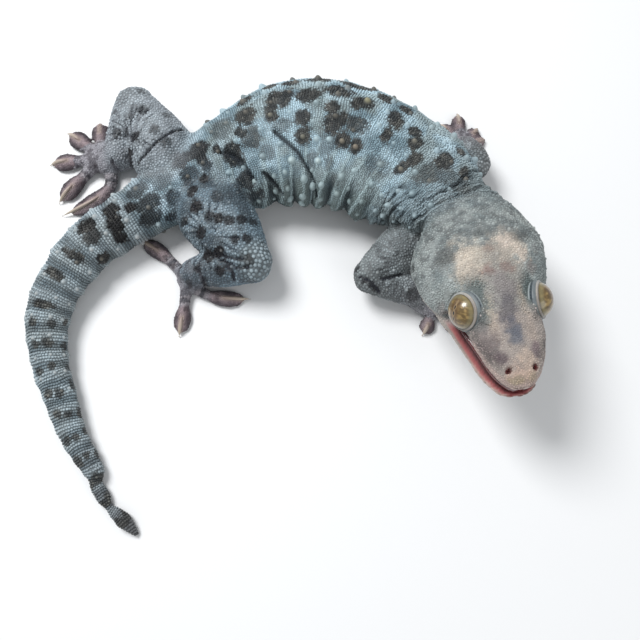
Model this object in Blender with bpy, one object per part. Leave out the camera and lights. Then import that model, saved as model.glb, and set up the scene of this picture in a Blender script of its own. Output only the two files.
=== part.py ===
"""A tokay gecko at life size, lying on its belly with its back arched to its left,
its tail curled round behind it and its head raised.

Plan sizes are in millimetres, +X to the animal's front half, +Z up, and the floor is at z = 0.
The left side of the animal is the outside of its bend.
"""

import math

import bmesh
import bpy
import numpy as np
from mathutils import Matrix, Vector

MM = 0.001
GAP = 0.3

# Head frame: the point midway between the eyes, the way the snout points, and its upward pitch
HEAD_AT = np.array((50.0, -3.0, 34.0))
HEAD_TURN = math.radians(-81.0)
HEAD_PITCH = math.radians(18.0)

# Spine stations from the nape to the tail tip:
# x, y, height of the widest line, half width, rise above it, drop below it, pitch in degrees
SPINE = np.array((
    (44.6, 27.8, 22.4, 13.6, 8.0, 11.2, 18.0),
    (39.9, 31.9, 19.4, 13.2, 9.2, 12.6, 13.0),
    (36.1, 37.4, 16.2, 16.4, 10.6, 13.8, 8.0),
    (32.0, 42.4, 13.4, 18.8, 11.9, 12.9, 4.0),
    (26.2, 46.8, 11.6, 19.8, 13.0, 11.6, 0.0),
    (17.8, 51.5, 11.6, 20.8, 13.6, 11.6, 0.0),
    (9.4, 55.0, 11.8, 21.2, 14.0, 11.8, 0.0),
    (-1.6, 57.1, 11.8, 21.2, 14.0, 11.8, 0.0),
    (-13.0, 56.1, 11.6, 20.2, 13.6, 11.6, 0.0),
    (-23.4, 52.8, 11.0, 17.6, 12.4, 11.0, 0.0),
    (-33.5, 49.0, 9.8, 14.6, 11.0, 9.8, 0.0),
    (-43.4, 44.5, 8.8, 12.0, 9.6, 8.8, 0.0),
    (-52.2, 39.0, 8.0, 10.2, 8.4, 8.0, 0.0),
    (-59.9, 34.0, 7.6, 9.2, 7.8, 7.6, 0.0),
    (-73.7, 24.3, 7.0, 8.4, 7.2, 7.0, 0.0),
    (-81.5, 14.0, 6.5, 7.6, 6.6, 6.5, 0.0),
    (-85.5, 5.6, 6.0, 7.1, 6.2, 6.0, 0.0),
    (-87.0, -3.4, 5.6, 6.5, 5.7, 5.6, 0.0),
    (-85.1, -16.0, 4.8, 5.5, 4.9, 4.8, 0.0),
    (-82.6, -22.9, 4.4, 5.1, 4.5, 4.4, 0.0),
    (-77.1, -36.8, 3.6, 4.1, 3.7, 3.6, 0.0),
    (-70.4, -47.7, 2.8, 3.1, 2.9, 2.8, 0.0),
    (-69.2, -52.4, 1.7, 1.7, 1.7, 1.7, 0.0),
    (-67.4, -55.2, 2.1, 2.2, 2.1, 2.1, 0.0),
    (-64.9, -59.3, 1.1, 1.1, 1.1, 1.1, 0.0),
    (-61.6, -61.8, 2.0, 2.1, 2.0, 2.0, 0.0),
    (-58.6, -64.6, 1.8, 1.9, 1.8, 1.8, 0.0),
    (-55.5, -68.0, 0.6, 0.5, 0.5, 0.6, 0.0),
))

# Lengths along the spine, from the nape, where one node ends and the next begins
NODE_ENDS = (
    ("neck", 19.0, 28, 2.4),
    ("torso_front", 60.0, 28, 3.1),
    ("torso_rear", 104.0, 28, 3.1),
    ("tail_base", 142.0, 20, 2.7),
    ("tail_middle", 184.0, 16, 2.6),
    ("tail_end", 1000.0, 12, 2.2),
)

# Length over which the neck's cross-sections turn to face the way the head does
NECK_TURN = 9.0

# Raised tubercles: height, how far each one's foot stays inside its grid cell, and the lowest row
TUBERCLE_RISE = 1.35
TUBERCLE_INSET = 0.62
TUBERCLE_FLOOR = -0.25
TUBERCLE_BODY = 5.6
TAIL_TUBERCLE = 0.8
LIMB_CLEAR = 2.2

# How square the body's cross-section is
BODY_POWER = 2.15

# Pleats on the inner flank, wrinkles on the neck
PLEAT_DEPTH = 1.1
WRINKLE_DEPTH = 0.45

# The eyes, in the head's own frame, each looking out along its axis
EYE_RADIUS = 5.4
EYE_AT = np.array((0.6, 9.3, 0.8))
EYE_AXIS = np.array((0.25, 0.84, 0.42))
EYE_OPENING = 4.9
EYE_RIM = 1.0
RIM_OUT = 0.6
EYE_AROUND = 16
RIM_AROUND = 6
# The room for an eyeball: angles from its back to its rim, then height and width beyond the rim
ORBIT_STEPS = (19, 38, 58, 77, 96, 115)
ORBIT_MOUTH = ((1.4, 0.35), (6.0, 2.2))

# The swelling above each eye
BROW_AT = np.array((1.2, 6.2, 5.4))
BROW_SIZE = np.array((7.0, 3.4, 2.2))

# Limb joints, in plan millimetres, and the radius at each. Each toe has the way it leaves the palm's
# middle and how far that pulls its curve, then the way to its tip and how far off that is
LIMBS = {
    "arm_right": {
        "root": (33.5, 28.6, 10.0, 7.8),
        "bend": (16.4, 12.4, 9.4, 5.9),
        "end": (31.0, 7.6, 5.4, 4.7),
        "bulge": 0.8,
        "palm": (36.0, 5.0),
        "toes": (
            (84, 5, 84, 10.0),
            (46, 6, 46, 12.4),
            (2, 6, 2, 13.0),
            (-44, 6, -44, 12.6),
            (-85, 5, -103, 9.6),
        ),
        "toe_size": 0.84,
    },
    "arm_left": {
        "root": (33.5, 43.5, 12.0, 8.0),
        "bend": (50.6, 50.6, 9.6, 5.6),
        "end": (49.0, 58.4, 5.4, 4.2),
        "bulge": 0.4,
        "palm": (48.8, 61.4),
        "toes": (
            (14, 4, 14, 8.0),
            (40, 4, 46, 8.0),
            (96, 5, 94, 11.0),
            (130, 5, 134, 10.0),
            (170, 4, 176, 8.6),
        ),
        "toe_size": 0.82,
    },
    "leg_right": {
        "root": (-41.0, 42.6, 10.0, 12.0),
        "bend": (-22.2, 16.8, 11.0, 7.2),
        "end": (-41.0, 14.4, 6.2, 4.8),
        "bulge": 2.4,
        "palm": (-43.8, 12.8),
        "toes": (
            (40, 6, 32, 12.4),
            (6, 8, 6, 16.0),
            (-48, 9, -18, 19.4),
            (-92, 9, -96, 17.0),
            (124, 10, 138, 20.0),
        ),
        "toe_size": 0.9,
    },
    "leg_left": {
        "root": (-45.5, 44.8, 10.0, 11.6),
        "bend": (-61.4, 70.0, 11.0, 6.8),
        "end": (-67.2, 56.2, 6.2, 5.6),
        "bulge": 1.4,
        "palm": (-74.4, 55.6),
        "toes": (
            (100, 7, 98, 13.6),
            (135, 7, 141, 15.2),
            (180, 8, 184, 16.6),
            (222, 9, 227, 19.0),
            (313, 15, 244, 20.6),
        ),
        "toe_size": 1.0,
    },
}
# The calf's radius as a share of the knee's, and how far down the shin it is
CALF = 0.96
CALF_AT = 0.45
LIMB_AROUND = 14

# The palm: share of the way from the wrist to its middle, half width and height as shares of the
# wrist's radius
PALM_PROFILE = (
    (-0.9, 0.82, 1.78),
    (0.0, 1.0, 1.58),
    (1.0, 1.35, 1.26),
    (1.9, 1.2, 1.0),
    (2.4, 0.6, 0.74),
)

# A toe with its pad: share of its length, half width and height
TOE_START = 0.08
TOE_AROUND = 8
PALM_AROUND = 12
TOE_PROFILE = (
    (0.00, 2.4, 4.4),
    (0.30, 2.1, 3.6),
    (0.46, 2.1, 3.0),
    (0.60, 3.0, 2.6),
    (0.78, 3.4, 2.3),
    (0.93, 2.7, 1.8),
    (1.00, 1.3, 1.2),
)

# The claw and the narrow ridge behind it: share of the toe's length, half width, underside, top
CLAW_PROFILE = (
    (0.66, 0.75, 1.2, 3.1),
    (0.92, 0.65, 0.9, 2.5),
    (1.02, 0.45, 0.7, 1.8),
    (1.11, 0.12, 0.15, 0.45),
)

# Head sections along its own axis from the nape to the snout:
# x, half width, top, bottom of the upper head, and how square its roof is
HEAD = np.array((
    (-32.6, 13.6, 8.0, -11.2, 2.2),
    (-27.0, 16.3, 8.8, -12.4, 2.3),
    (-20.0, 18.9, 9.6, -13.0, 2.4),
    (-13.0, 18.4, 10.0, -13.2, 2.3),
    (-7.0, 16.8, 9.6, -13.0, 2.1),
    (-3.6, 15.4, 9.0, -12.8, 1.9),
    (-3.0, 15.2, 9.0, -5.8, 1.9),
    (1.5, 13.2, 8.4, -5.6, 1.7),
    (6.0, 11.6, 7.2, -5.4, 1.8),
    (11.0, 9.9, 5.6, -5.2, 2.0),
    (16.0, 8.4, 3.9, -5.0, 2.1),
    (20.0, 6.6, 2.3, -4.8, 2.1),
    (22.6, 4.6, 0.6, -4.6, 2.0),
    (24.0, 2.4, -1.6, -4.4, 2.0),
))
# Rows of the table, and parts of rows, at which a section is made
HEAD_CUTS = (0, 0.5, 1, 1.5, 2, 2.5, 3, 3.5, 4, 5, 6, 7, 8, 9, 10, 11, 12, 13)

# The lower jaw: x, half width, top and bottom
JAW = np.array((
    (-2.6, 15.4, -6.4, -12.8),
    (1.5, 13.2, -7.0, -12.6),
    (6.0, 11.9, -7.5, -12.2),
    (11.0, 10.3, -8.0, -11.8),
    (16.0, 8.8, -8.2, -11.4),
    (20.0, 6.8, -8.3, -11.0),
    (22.4, 4.8, -8.3, -10.4),
    (23.8, 2.4, -8.3, -9.6),
))

# The pink lining that shows between the lips: x, half width, top and bottom
LINING = np.array((
    (-2.4, 13.0, -6.15, -6.05),
    (3.0, 11.6, -5.9, -6.8),
    (11.0, 9.1, -5.6, -7.6),
    (18.0, 6.8, -5.3, -7.9),
    (21.8, 4.2, -5.1, -7.95),
    (23.0, 2.2, -5.0, -7.95),
))
HEAD_AROUND = 24

# Ear openings and nostrils: place along the head, turn round it, and how each is sunk
EAR_X = -18.0
EAR_TURNS = (-2, 182)
EAR_INSET = 0.9
EAR_DEPTH = 2.0
NOSTRIL_X = 20.6
NOSTRIL_TURNS = (36, 144)
NOSTRIL_INSET = 0.45
NOSTRIL_DEPTH = 0.9

# Small knobs on the temples and jowls
KNOB_BANDS = 9
KNOB_LOW = -0.3
KNOB_HIGH = 0.86
KNOB_INSET = 0.95
KNOB_RISE = 0.7


COLOURS = {
    "skin": ((0.20, 0.27, 0.31), 0.62),
    "head_skin": ((0.38, 0.37, 0.37), 0.58),
    "toes": ((0.22, 0.17, 0.18), 0.6),
    "eye": ((0.30, 0.20, 0.06), 0.12),
    "mouth": ((0.55, 0.15, 0.14), 0.35),
}


def unit(vector):
    return vector / np.linalg.norm(vector)


def clear_scene():
    for item in list(bpy.data.objects):
        bpy.data.objects.remove(item, do_unlink=True)


def material(name):
    made = bpy.data.materials.get(name)
    if made:
        return made
    colour, roughness = COLOURS[name]
    made = bpy.data.materials.new(name)
    made.use_nodes = True
    shader = made.node_tree.nodes["Principled BSDF"]
    shader.inputs["Base Color"].default_value = (*colour, 1.0)
    shader.inputs["Roughness"].default_value = roughness
    shader.inputs["Metallic"].default_value = 0.0
    return made


def smooth_rows(rows, at):
    """Rows read off a Catmull-Rom curve through the given rows, at fractions of a row."""
    rows = np.asarray(rows, float)
    padded = np.vstack((2 * rows[0] - rows[1], rows, 2 * rows[-1] - rows[-2]))
    at = np.clip(np.asarray(at, float), 0, len(rows) - 1 - 1e-9)
    start = at.astype(int)
    t = (at - start)[:, None]
    a, b, c, d = (padded[start + k] for k in range(4))
    return 0.5 * (2 * b + (c - a) * t + (2 * a - 5 * b + 4 * c - d) * t**2 + (3 * b - a - 3 * c + d) * t**3)


def by_length(rows, lengths):
    """Rows read off the curve at lengths measured along its first two columns, and its whole length."""
    fine = np.linspace(0, len(rows) - 1, 60 * len(rows))
    points = smooth_rows(rows, fine)[:, :2]
    run = np.concatenate(([0.0], np.cumsum(np.linalg.norm(np.diff(points, axis=0), axis=1))))
    if lengths is None:
        return run[-1]
    return smooth_rows(rows, np.interp(lengths, run, fine))


def superellipse(angle, power):
    """A point of a rounded box of half size 1, at this angle."""
    u, v = math.cos(angle), math.sin(angle)
    return math.copysign(abs(u) ** (2 / power), u), math.copysign(abs(v) ** (2 / power), v)


def spine_ring(row, heading, around, grow=0.0, inner_in=0.0, all_in=0.0):
    """One cross-section of the neck, torso or tail: from the belly, up the left side and over."""
    x, y, mid, half, rise, drop, pitch = row
    forward = np.array((heading[0], heading[1], 0.0))
    left = np.array((-heading[1], heading[0], 0.0))
    pitch = math.radians(pitch)
    up = np.array((0.0, 0.0, 1.0)) * math.cos(pitch) - forward * math.sin(pitch)
    ring = []
    for k in range(around):
        angle = -math.pi / 2 + 2 * math.pi * k / around
        u, v = superellipse(angle, BODY_POWER)
        inner = max(0.0, -u) * max(0.0, min(1.0, 1.3 - v))
        shrink = all_in + inner_in * inner
        across = u * (half + grow - shrink)
        height = v * ((rise if v > 0 else drop * 1.05) + grow - all_in)
        height = max(height, -drop - grow)
        point = np.array((x, y, mid)) + left * across + up * height
        point[2] = max(point[2], -grow)
        ring.append(point)
    return np.array(ring)


def loft(rings):
    """A closed mesh over the rings, each end closed by a fan round its middle."""
    around = len(rings[0])
    bm = bmesh.new()
    loops = [[bm.verts.new(p) for p in ring] for ring in rings]
    for near, far in zip(loops, loops[1:]):
        for k in range(around):
            n = (k + 1) % around
            bm.faces.new((near[k], near[n], far[n], far[k]))
    for loop, flip in ((loops[0], True), (loops[-1], False)):
        middle = bm.verts.new(np.mean([v.co for v in loop], axis=0))
        for k in range(around):
            n = (k + 1) % around
            corners = (loop[n], loop[k], middle) if flip else (loop[k], loop[n], middle)
            bm.faces.new(corners)
    bmesh.ops.recalc_face_normals(bm, faces=bm.faces)
    return bm


def raise_tubercles(bm, faces, inset, rise):
    """Turns each of these faces into a low pyramid that stands on the surface."""
    if not faces:
        return
    bmesh.ops.inset_individual(bm, faces=faces, thickness=inset, use_even_offset=True)
    bmesh.ops.poke(bm, faces=faces, offset=rise)


def near_limb(point, clearance):
    """Whether a limb's root passes this close to the point."""
    for limb in LIMBS.values():
        root, bend = np.array(limb["root"][:3]), np.array(limb["bend"][:3])
        along = bend - root
        t = np.clip(np.dot(point - root, along) / np.dot(along, along), 0, 1)
        radius = limb["root"][3] + (limb["bend"][3] - limb["root"][3]) * t
        if np.linalg.norm(point - root - along * t) < radius + clearance:
            return True
    return False


def spine_rings(start, end, around, spacing, grow=0.0, kind="torso"):
    """The rings of one stretch of the spine, with the pleats of the inner flank or the neck's wrinkles."""
    count = max(2, round((end - start) / spacing))
    lengths = np.linspace(start, end, count + 1)
    rows = by_length(SPINE, lengths)
    ahead = by_length(SPINE, lengths - 0.4) - by_length(SPINE, lengths + 0.4)
    rings = []
    facing = np.array((math.cos(HEAD_TURN), math.sin(HEAD_TURN)))
    for k, (row, way) in enumerate(zip(rows, ahead)):
        share = max(0.0, 1 - lengths[k] / NECK_TURN)
        heading = unit(unit(way[:2]) * (1 - share) + facing * share)
        inner_in = PLEAT_DEPTH * (k % 2) if kind == "torso" else 0.0
        all_in = WRINKLE_DEPTH * (k % 2) if kind == "neck" else 0.0
        rings.append(spine_ring(row, heading, around, grow, inner_in, all_in))
    return rings


def spine_node(name, start, end, around, spacing):
    kind = name.split("_")[0]
    rings = spine_rings(start, end, around, spacing, kind=kind)
    bm = loft(rings)
    bm.faces.ensure_lookup_table()
    chosen = []
    for band in range(1, len(rings) - 2):
        for k in range(around):
            face = bm.faces[band * around + k]
            centre = np.array(face.calc_center_median())
            rise = math.sin(-math.pi / 2 + 2 * math.pi * (k + 0.5) / around)
            staggered = (k + band) % 2 == 0 if kind == "torso" else (band % 3 == 1 and k % 2 == 0)
            slim = np.linalg.norm(rings[band][0] - rings[band][around // 2]) < TUBERCLE_BODY
            if rise < TUBERCLE_FLOOR or not staggered or slim or near_limb(centre, LIMB_CLEAR):
                continue
            chosen.append(face)
    if kind != "neck":
        size = 1.0 if kind == "torso" else TAIL_TUBERCLE
        raise_tubercles(bm, chosen, TUBERCLE_INSET * size, TUBERCLE_RISE * size)
    return bm


def bone_rings(points, around):
    """Round rings along points of x, y, z and radius, with both ends rounded off."""
    points = np.asarray(points, float)
    way = unit(points[1, :3] - points[0, :3])
    back = unit(points[-1, :3] - points[-2, :3])
    rows = [np.append(points[0, :3] - way * points[0, 3] * 0.75, points[0, 3] * 0.62)]
    rows.extend(points)
    rows.append(np.append(points[-1, :3] + back * points[-1, 3] * 0.55, points[-1, 3] * 0.83))
    rows.append(np.append(points[-1, :3] + back * points[-1, 3] * 0.92, points[-1, 3] * 0.38))
    rows = np.array(rows)
    rings = []
    for k, row in enumerate(rows):
        after, before = rows[min(k + 1, len(rows) - 1), :3], rows[max(k - 1, 0), :3]
        ahead = unit(after - before)
        side = unit(np.cross(ahead, (0.0, 0.0, 1.0)))
        up = np.cross(side, ahead)
        ring = []
        for n in range(around):
            angle = 2 * math.pi * n / around
            point = row[:3] + row[3] * (side * math.cos(angle) + up * math.sin(angle))
            point[2] = max(point[2], 0.0)
            ring.append(point)
        rings.append(np.array(ring))
    return rings


def keep_side(bm, point, normal):
    """Cuts the mesh flat at the plane and keeps the side that the normal points to."""
    everything = bm.verts[:] + bm.edges[:] + bm.faces[:]
    bmesh.ops.bisect_plane(
        bm, geom=everything, plane_co=point, plane_no=normal, clear_inner=True, dist=1e-5
    )
    rim = [edge for edge in bm.edges if edge.is_boundary]
    if rim:
        bmesh.ops.holes_fill(bm, edges=rim, sides=0)
    bmesh.ops.recalc_face_normals(bm, faces=bm.faces)


def object_of(name, bm):
    mesh = bpy.data.meshes.new(name)
    bm.to_mesh(mesh)
    bm.free()
    made = bpy.data.objects.new(name, mesh)
    bpy.context.scene.collection.objects.link(made)
    return made


def largest_shell(mesh):
    """Drops every closed surface of the mesh but the one that encloses most."""
    bm = bmesh.new()
    bm.from_mesh(mesh)
    bmesh.ops.triangulate(bm, faces=bm.faces)
    left = set(bm.faces)
    shells = []
    while left:
        shell, queue = set(), [left.pop()]
        while queue:
            face = queue.pop()
            shell.add(face)
            for edge in face.edges:
                for other in edge.link_faces:
                    if other in left:
                        left.remove(other)
                        queue.append(other)
        volume = sum(
            f.verts[0].co.dot(f.verts[1].co.cross(f.verts[2].co)) / 6 for f in shell
        )
        shells.append((volume, shell))
    best = max(shells, key=lambda pair: pair[0])[1]
    extra = [f for _, shell in shells if shell is not best for f in shell]
    bmesh.ops.delete(bm, geom=extra, context="FACES")
    bm.to_mesh(mesh)
    bm.free()


def combine(base, others, operation, solver="EXACT"):
    """Joins the others to the base, or cuts them from it, and removes them."""
    group = bpy.data.collections.new("pieces")
    bpy.context.scene.collection.children.link(group)
    for other in others:
        bpy.context.scene.collection.objects.unlink(other)
        group.objects.link(other)
    modifier = base.modifiers.new("fuse", "BOOLEAN")
    modifier.operation = operation
    modifier.operand_type = "COLLECTION"
    modifier.collection = group
    modifier.solver = solver
    graph = bpy.context.evaluated_depsgraph_get()
    mesh = bpy.data.meshes.new_from_object(base.evaluated_get(graph))
    base.modifiers.clear()
    old = base.data
    base.data = mesh
    bpy.data.meshes.remove(old)
    for other in others:
        bpy.data.objects.remove(other, do_unlink=True)
    bpy.data.collections.remove(group)
    largest_shell(base.data)
    return base


def bend_plane(limb):
    """The plane that halves the angle at the elbow or knee, with its normal towards the root."""
    root, bend, end = (np.array(limb[key][:3]) for key in ("root", "bend", "end"))
    return bend, unit(unit(root - bend) - unit(end - bend))


def upper_limb(limb):
    root, bend = np.array(limb["root"]), np.array(limb["bend"])
    points = []
    for share in np.linspace(0.0, 1.0, 5):
        point = root + (bend - root) * share
        point[3] += limb["bulge"] * math.sin(math.pi * share)
        points.append(point)
    bm = loft(bone_rings(points, LIMB_AROUND))
    at, normal = bend_plane(limb)
    keep_side(bm, at + normal * GAP / 2, normal)
    keep_side(bm, root[:3], unit(bend[:3] - root[:3]))
    made = object_of("upper", bm)
    return combine(made, [torso_room(), head_room()], "DIFFERENCE")


def ankle_plane(limb):
    bend, end = np.array(limb["bend"][:3]), np.array(limb["end"][:3])
    palm = np.array((*limb["palm"], 2.5))
    return end, unit(unit(end - bend) + unit(palm - end))


def shin_points(limb, grow=0.0):
    """The middle line of the forearm or shin, with its radius, from the bend to the wrist."""
    bend, end = np.array(limb["bend"]), np.array(limb["end"])
    calf = bend + (end - bend) * CALF_AT
    calf[3] = bend[3] * CALF
    points = np.array((bend, calf, end))
    points[:, 3] += grow
    return points


def lower_limb(limb):
    bm = loft(bone_rings(shin_points(limb), LIMB_AROUND))
    at, normal = bend_plane(limb)
    keep_side(bm, at - normal * GAP / 2, -normal)
    at, normal = ankle_plane(limb)
    keep_side(bm, at - normal * GAP / 2, -normal)
    return combine(object_of("lower", bm), [torso_room()], "DIFFERENCE")


def floor_ring(centre, ahead, half, rise, around):
    """A flat-soled cross-section: its sole lies on the floor."""
    side = np.array((-ahead[1], ahead[0], 0.0))
    ring = []
    for n in range(around):
        angle = -math.pi / 2 + 2 * math.pi * (n + 0.5) / around
        u, v = math.cos(angle), math.sin(angle)
        height = centre[2] + rise * 0.5 * (1 + v * 1.12)
        ring.append(np.array((centre[0], centre[1], max(0.0, height))) + side * u * half)
    return np.array(ring)


def floor_way(degrees):
    """A unit vector along the floor."""
    return np.array((math.cos(math.radians(degrees)), math.sin(math.radians(degrees)), 0.0))


def toe_path(palm, toe_row, share):
    """A point of a toe's curved middle line, and the way it runs there."""
    leave, pull, angle, distance = toe_row
    start = np.array((*palm, 0.0))
    knuckle = start + floor_way(leave) * pull
    tip = start + floor_way(angle) * distance
    point = start * (1 - share) ** 2 + knuckle * 2 * share * (1 - share) + tip * share**2
    return point, unit((knuckle - start) * (1 - share) + (tip - knuckle) * share)


def toe(palm, toe_row, size, clawed):
    """One toe with its widened pad, and the ridge and claw on top of it."""
    rings = []
    for share, half, rise in TOE_PROFILE:
        point, way = toe_path(palm, toe_row, TOE_START + (1 - TOE_START) * share)
        rings.append(floor_ring(point, way, half * size, rise * size, TOE_AROUND))
    pieces = [object_of("toe", loft(rings))]
    if not clawed:
        return pieces
    rings = []
    for share, half, low, high in CLAW_PROFILE:
        point, way = toe_path(palm, toe_row, share)
        side = np.array((-way[1], way[0], 0.0)) * half * size
        low_edge = np.array((0.0, 0.0, low * size))
        ridge = np.array((0.0, 0.0, high * size))
        rings.append(np.array((point - side + low_edge, point + side + low_edge, point + ridge)))
    pieces.append(object_of("claw", loft(rings)))
    return pieces


def foot(limb):
    end, palm = np.array(limb["end"]), np.array(limb["palm"])
    way = np.array((*palm, 0.0)) - (end[0], end[1], 0.0)
    ahead = unit(way)
    span = np.linalg.norm(way)
    size = limb["toe_size"]
    rings = []
    for share, half, rise in PALM_PROFILE:
        at = np.array((end[0], end[1], 0.0)) + ahead * span * share
        rings.append(floor_ring(at, ahead, half * end[3], rise * end[3], PALM_AROUND))
    bm = loft(rings)
    at, normal = ankle_plane(limb)
    keep_side(bm, at + normal * GAP / 2, normal)
    base = object_of("palm", bm)
    pieces = []
    for index, toe_row in enumerate(limb["toes"]):
        pieces.extend(toe(palm, toe_row, size, index > 0))
    combine(base, pieces, "UNION", "MANIFOLD")
    shin = loft(bone_rings(shin_points(limb, GAP), LIMB_AROUND))
    at, normal = ankle_plane(limb)
    keep_side(shin, at + normal * GAP / 2, -normal)
    return combine(base, [object_of("shin_room", shin)], "DIFFERENCE", "MANIFOLD")


def head_matrix():
    turn = Matrix.Rotation(HEAD_TURN, 4, "Z") @ Matrix.Rotation(-HEAD_PITCH, 4, "Y")
    return Matrix.Translation(Vector(HEAD_AT)) @ turn


def head_ring(x, half, top, bottom, around, power=2.3, low_power=3.4):
    """A head section: rounded above, and flat enough below to make a lip or a throat."""
    middle = bottom + (top - bottom) * 0.42
    ring = []
    for k in range(around):
        angle = -math.pi / 2 + 2 * math.pi * (k + 0.5) / around
        high = math.sin(angle) > 0
        u, v = superellipse(angle, power if high else low_power)
        height = middle + v * ((top - middle) if high else (middle - bottom))
        ring.append(np.array((x, u * half, height)))
    return np.array(ring)


def mirrored(vector, side):
    return Vector(np.array(vector) * (1, side, 1))


def eye_frame(side):
    """A matrix whose origin is the eye's centre and whose Z runs out through the pupil."""
    turn = mirrored(EYE_AXIS, side).to_track_quat("Z", "Y").to_matrix().to_4x4()
    return Matrix.Translation(mirrored(EYE_AT, side)) @ turn


def eye_rim(side):
    """The swollen edge of the eye's opening, a ring round the eyeball."""
    out = math.sqrt(EYE_RADIUS**2 - EYE_OPENING**2)
    bm = bmesh.new()
    loops = []
    for a in range(EYE_AROUND):
        round_eye = 2 * math.pi * a / EYE_AROUND
        loop = []
        for b in range(RIM_AROUND):
            tube = 2 * math.pi * b / RIM_AROUND
            reach = EYE_OPENING + RIM_OUT + EYE_RIM * math.cos(tube)
            height = out + EYE_RIM * math.sin(tube)
            local = (math.cos(round_eye) * reach, math.sin(round_eye) * reach, height)
            loop.append(bm.verts.new(local))
        loops.append(loop)
    for a in range(EYE_AROUND):
        near, far = loops[a], loops[(a + 1) % EYE_AROUND]
        for b in range(RIM_AROUND):
            n = (b + 1) % RIM_AROUND
            bm.faces.new((near[b], near[n], far[n], far[b]))
    bmesh.ops.transform(bm, matrix=eye_frame(side), verts=bm.verts)
    bmesh.ops.recalc_face_normals(bm, faces=bm.faces)
    return object_of("rim", bm)


def brow(side):
    """The low swelling of the head above each eye."""
    bm = bmesh.new()
    bmesh.ops.create_icosphere(bm, subdivisions=2, radius=1.0)
    place = Matrix.Translation(mirrored(BROW_AT, side)) @ Matrix.Diagonal((*BROW_SIZE, 1.0))
    bmesh.ops.transform(bm, matrix=place, verts=bm.verts)
    return object_of("brow", bm)


def orbit(side):
    """The room for one eyeball, open outwards."""
    out = math.sqrt(EYE_RADIUS**2 - EYE_OPENING**2)
    rows = []
    for angle in np.radians(ORBIT_STEPS):
        rows.append((-math.cos(angle) * (EYE_RADIUS + GAP), math.sin(angle) * (EYE_RADIUS + GAP)))
    rows.extend((out + height, EYE_OPENING + wider) for height, wider in ORBIT_MOUTH)
    rings = []
    for height, radius in rows:
        ring = []
        for a in range(EYE_AROUND):
            angle = 2 * math.pi * a / EYE_AROUND
            ring.append(np.array((math.cos(angle) * radius, math.sin(angle) * radius, height)))
        rings.append(np.array(ring))
    bm = loft(rings)
    bmesh.ops.transform(bm, matrix=eye_frame(side), verts=bm.verts)
    return object_of("orbit", bm)


def sink(bm, face, inset, depth):
    """A small pit in one face."""
    bmesh.ops.inset_individual(bm, faces=[face], thickness=inset, depth=-depth, use_even_offset=True)


def head_object():
    stations = smooth_rows(HEAD, HEAD_CUTS)
    bm = loft([head_ring(*row[:4], HEAD_AROUND, power=row[4]) for row in stations])
    bm.faces.ensure_lookup_table()

    def face_at(x, turn):
        band = int(np.searchsorted(stations[:, 0], x)) - 1
        return bm.faces[band * HEAD_AROUND + int((turn + 90) % 360 / 360 * HEAD_AROUND)]

    ears = [face_at(EAR_X, turn) for turn in EAR_TURNS]
    nostrils = [face_at(NOSTRIL_X, turn) for turn in NOSTRIL_TURNS]
    knobs = []
    for band in range(1, KNOB_BANDS):
        for k in range(HEAD_AROUND):
            face = bm.faces[band * HEAD_AROUND + k]
            rise = math.sin(2 * math.pi * (k + 1) / HEAD_AROUND - math.pi / 2)
            if KNOB_LOW < rise < KNOB_HIGH and (k + band) % 2 == 0 and face not in ears:
                knobs.append(face)
    for face in ears:
        sink(bm, face, EAR_INSET, EAR_DEPTH)
    for face in nostrils:
        sink(bm, face, NOSTRIL_INSET, NOSTRIL_DEPTH)
    raise_tubercles(bm, knobs, KNOB_INSET, KNOB_RISE)
    made = object_of("head", bm)
    combine(made, [make(side) for side in (1, -1) for make in (eye_rim, brow)], "UNION")
    combine(made, [orbit(side) for side in (1, -1)], "DIFFERENCE")
    made.data.transform(head_matrix())
    return made


def jaw_object(rows, around):
    rings = [head_ring(*row, around, power=4.0, low_power=2.4) for row in rows]
    bm = loft(rings)
    bmesh.ops.transform(bm, matrix=head_matrix(), verts=bm.verts)
    return object_of("jaw", bm)


def eye_object(side):
    bm = bmesh.new()
    bmesh.ops.create_uvsphere(bm, u_segments=16, v_segments=10, radius=EYE_RADIUS)
    bmesh.ops.translate(bm, vec=Vector(EYE_AT * (1, side, 1)), verts=bm.verts)
    bmesh.ops.transform(bm, matrix=head_matrix(), verts=bm.verts)
    return object_of("eye", bm)


def torso_room():
    """The neck, torso and tail base grown by the gap, for cutting the limbs' roots."""
    pieces = []
    start = 0.0
    for name, end, around, spacing in NODE_ENDS[:4]:
        kind = name.split("_")[0]
        rings = spine_rings(start + GAP / 2, end - GAP / 2, 28, spacing, GAP, kind)
        pieces.append(rings)
        start = end
    rings = [ring for piece in pieces for ring in piece]
    return object_of("torso_room", loft(rings))


def head_room():
    """The upper head grown by the gap, for cutting what passes close below it."""
    rings = []
    for x, half, top, bottom, power in smooth_rows(HEAD, HEAD_CUTS):
        rings.append(head_ring(x, half + GAP, top + GAP, bottom - GAP, HEAD_AROUND, power=power))
    bm = loft(rings)
    bmesh.ops.transform(bm, matrix=head_matrix(), verts=bm.verts)
    return object_of("head_room", bm)


def finish_node(name, made, colour):
    made.name = name
    made.data.name = name
    made.data.transform(Matrix.Scale(MM, 4))
    made.data.materials.clear()
    made.data.materials.append(material(colour))
    made.data.shade_smooth()
    made.data.set_sharp_from_angle(angle=math.radians(40))
    return made


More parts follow.
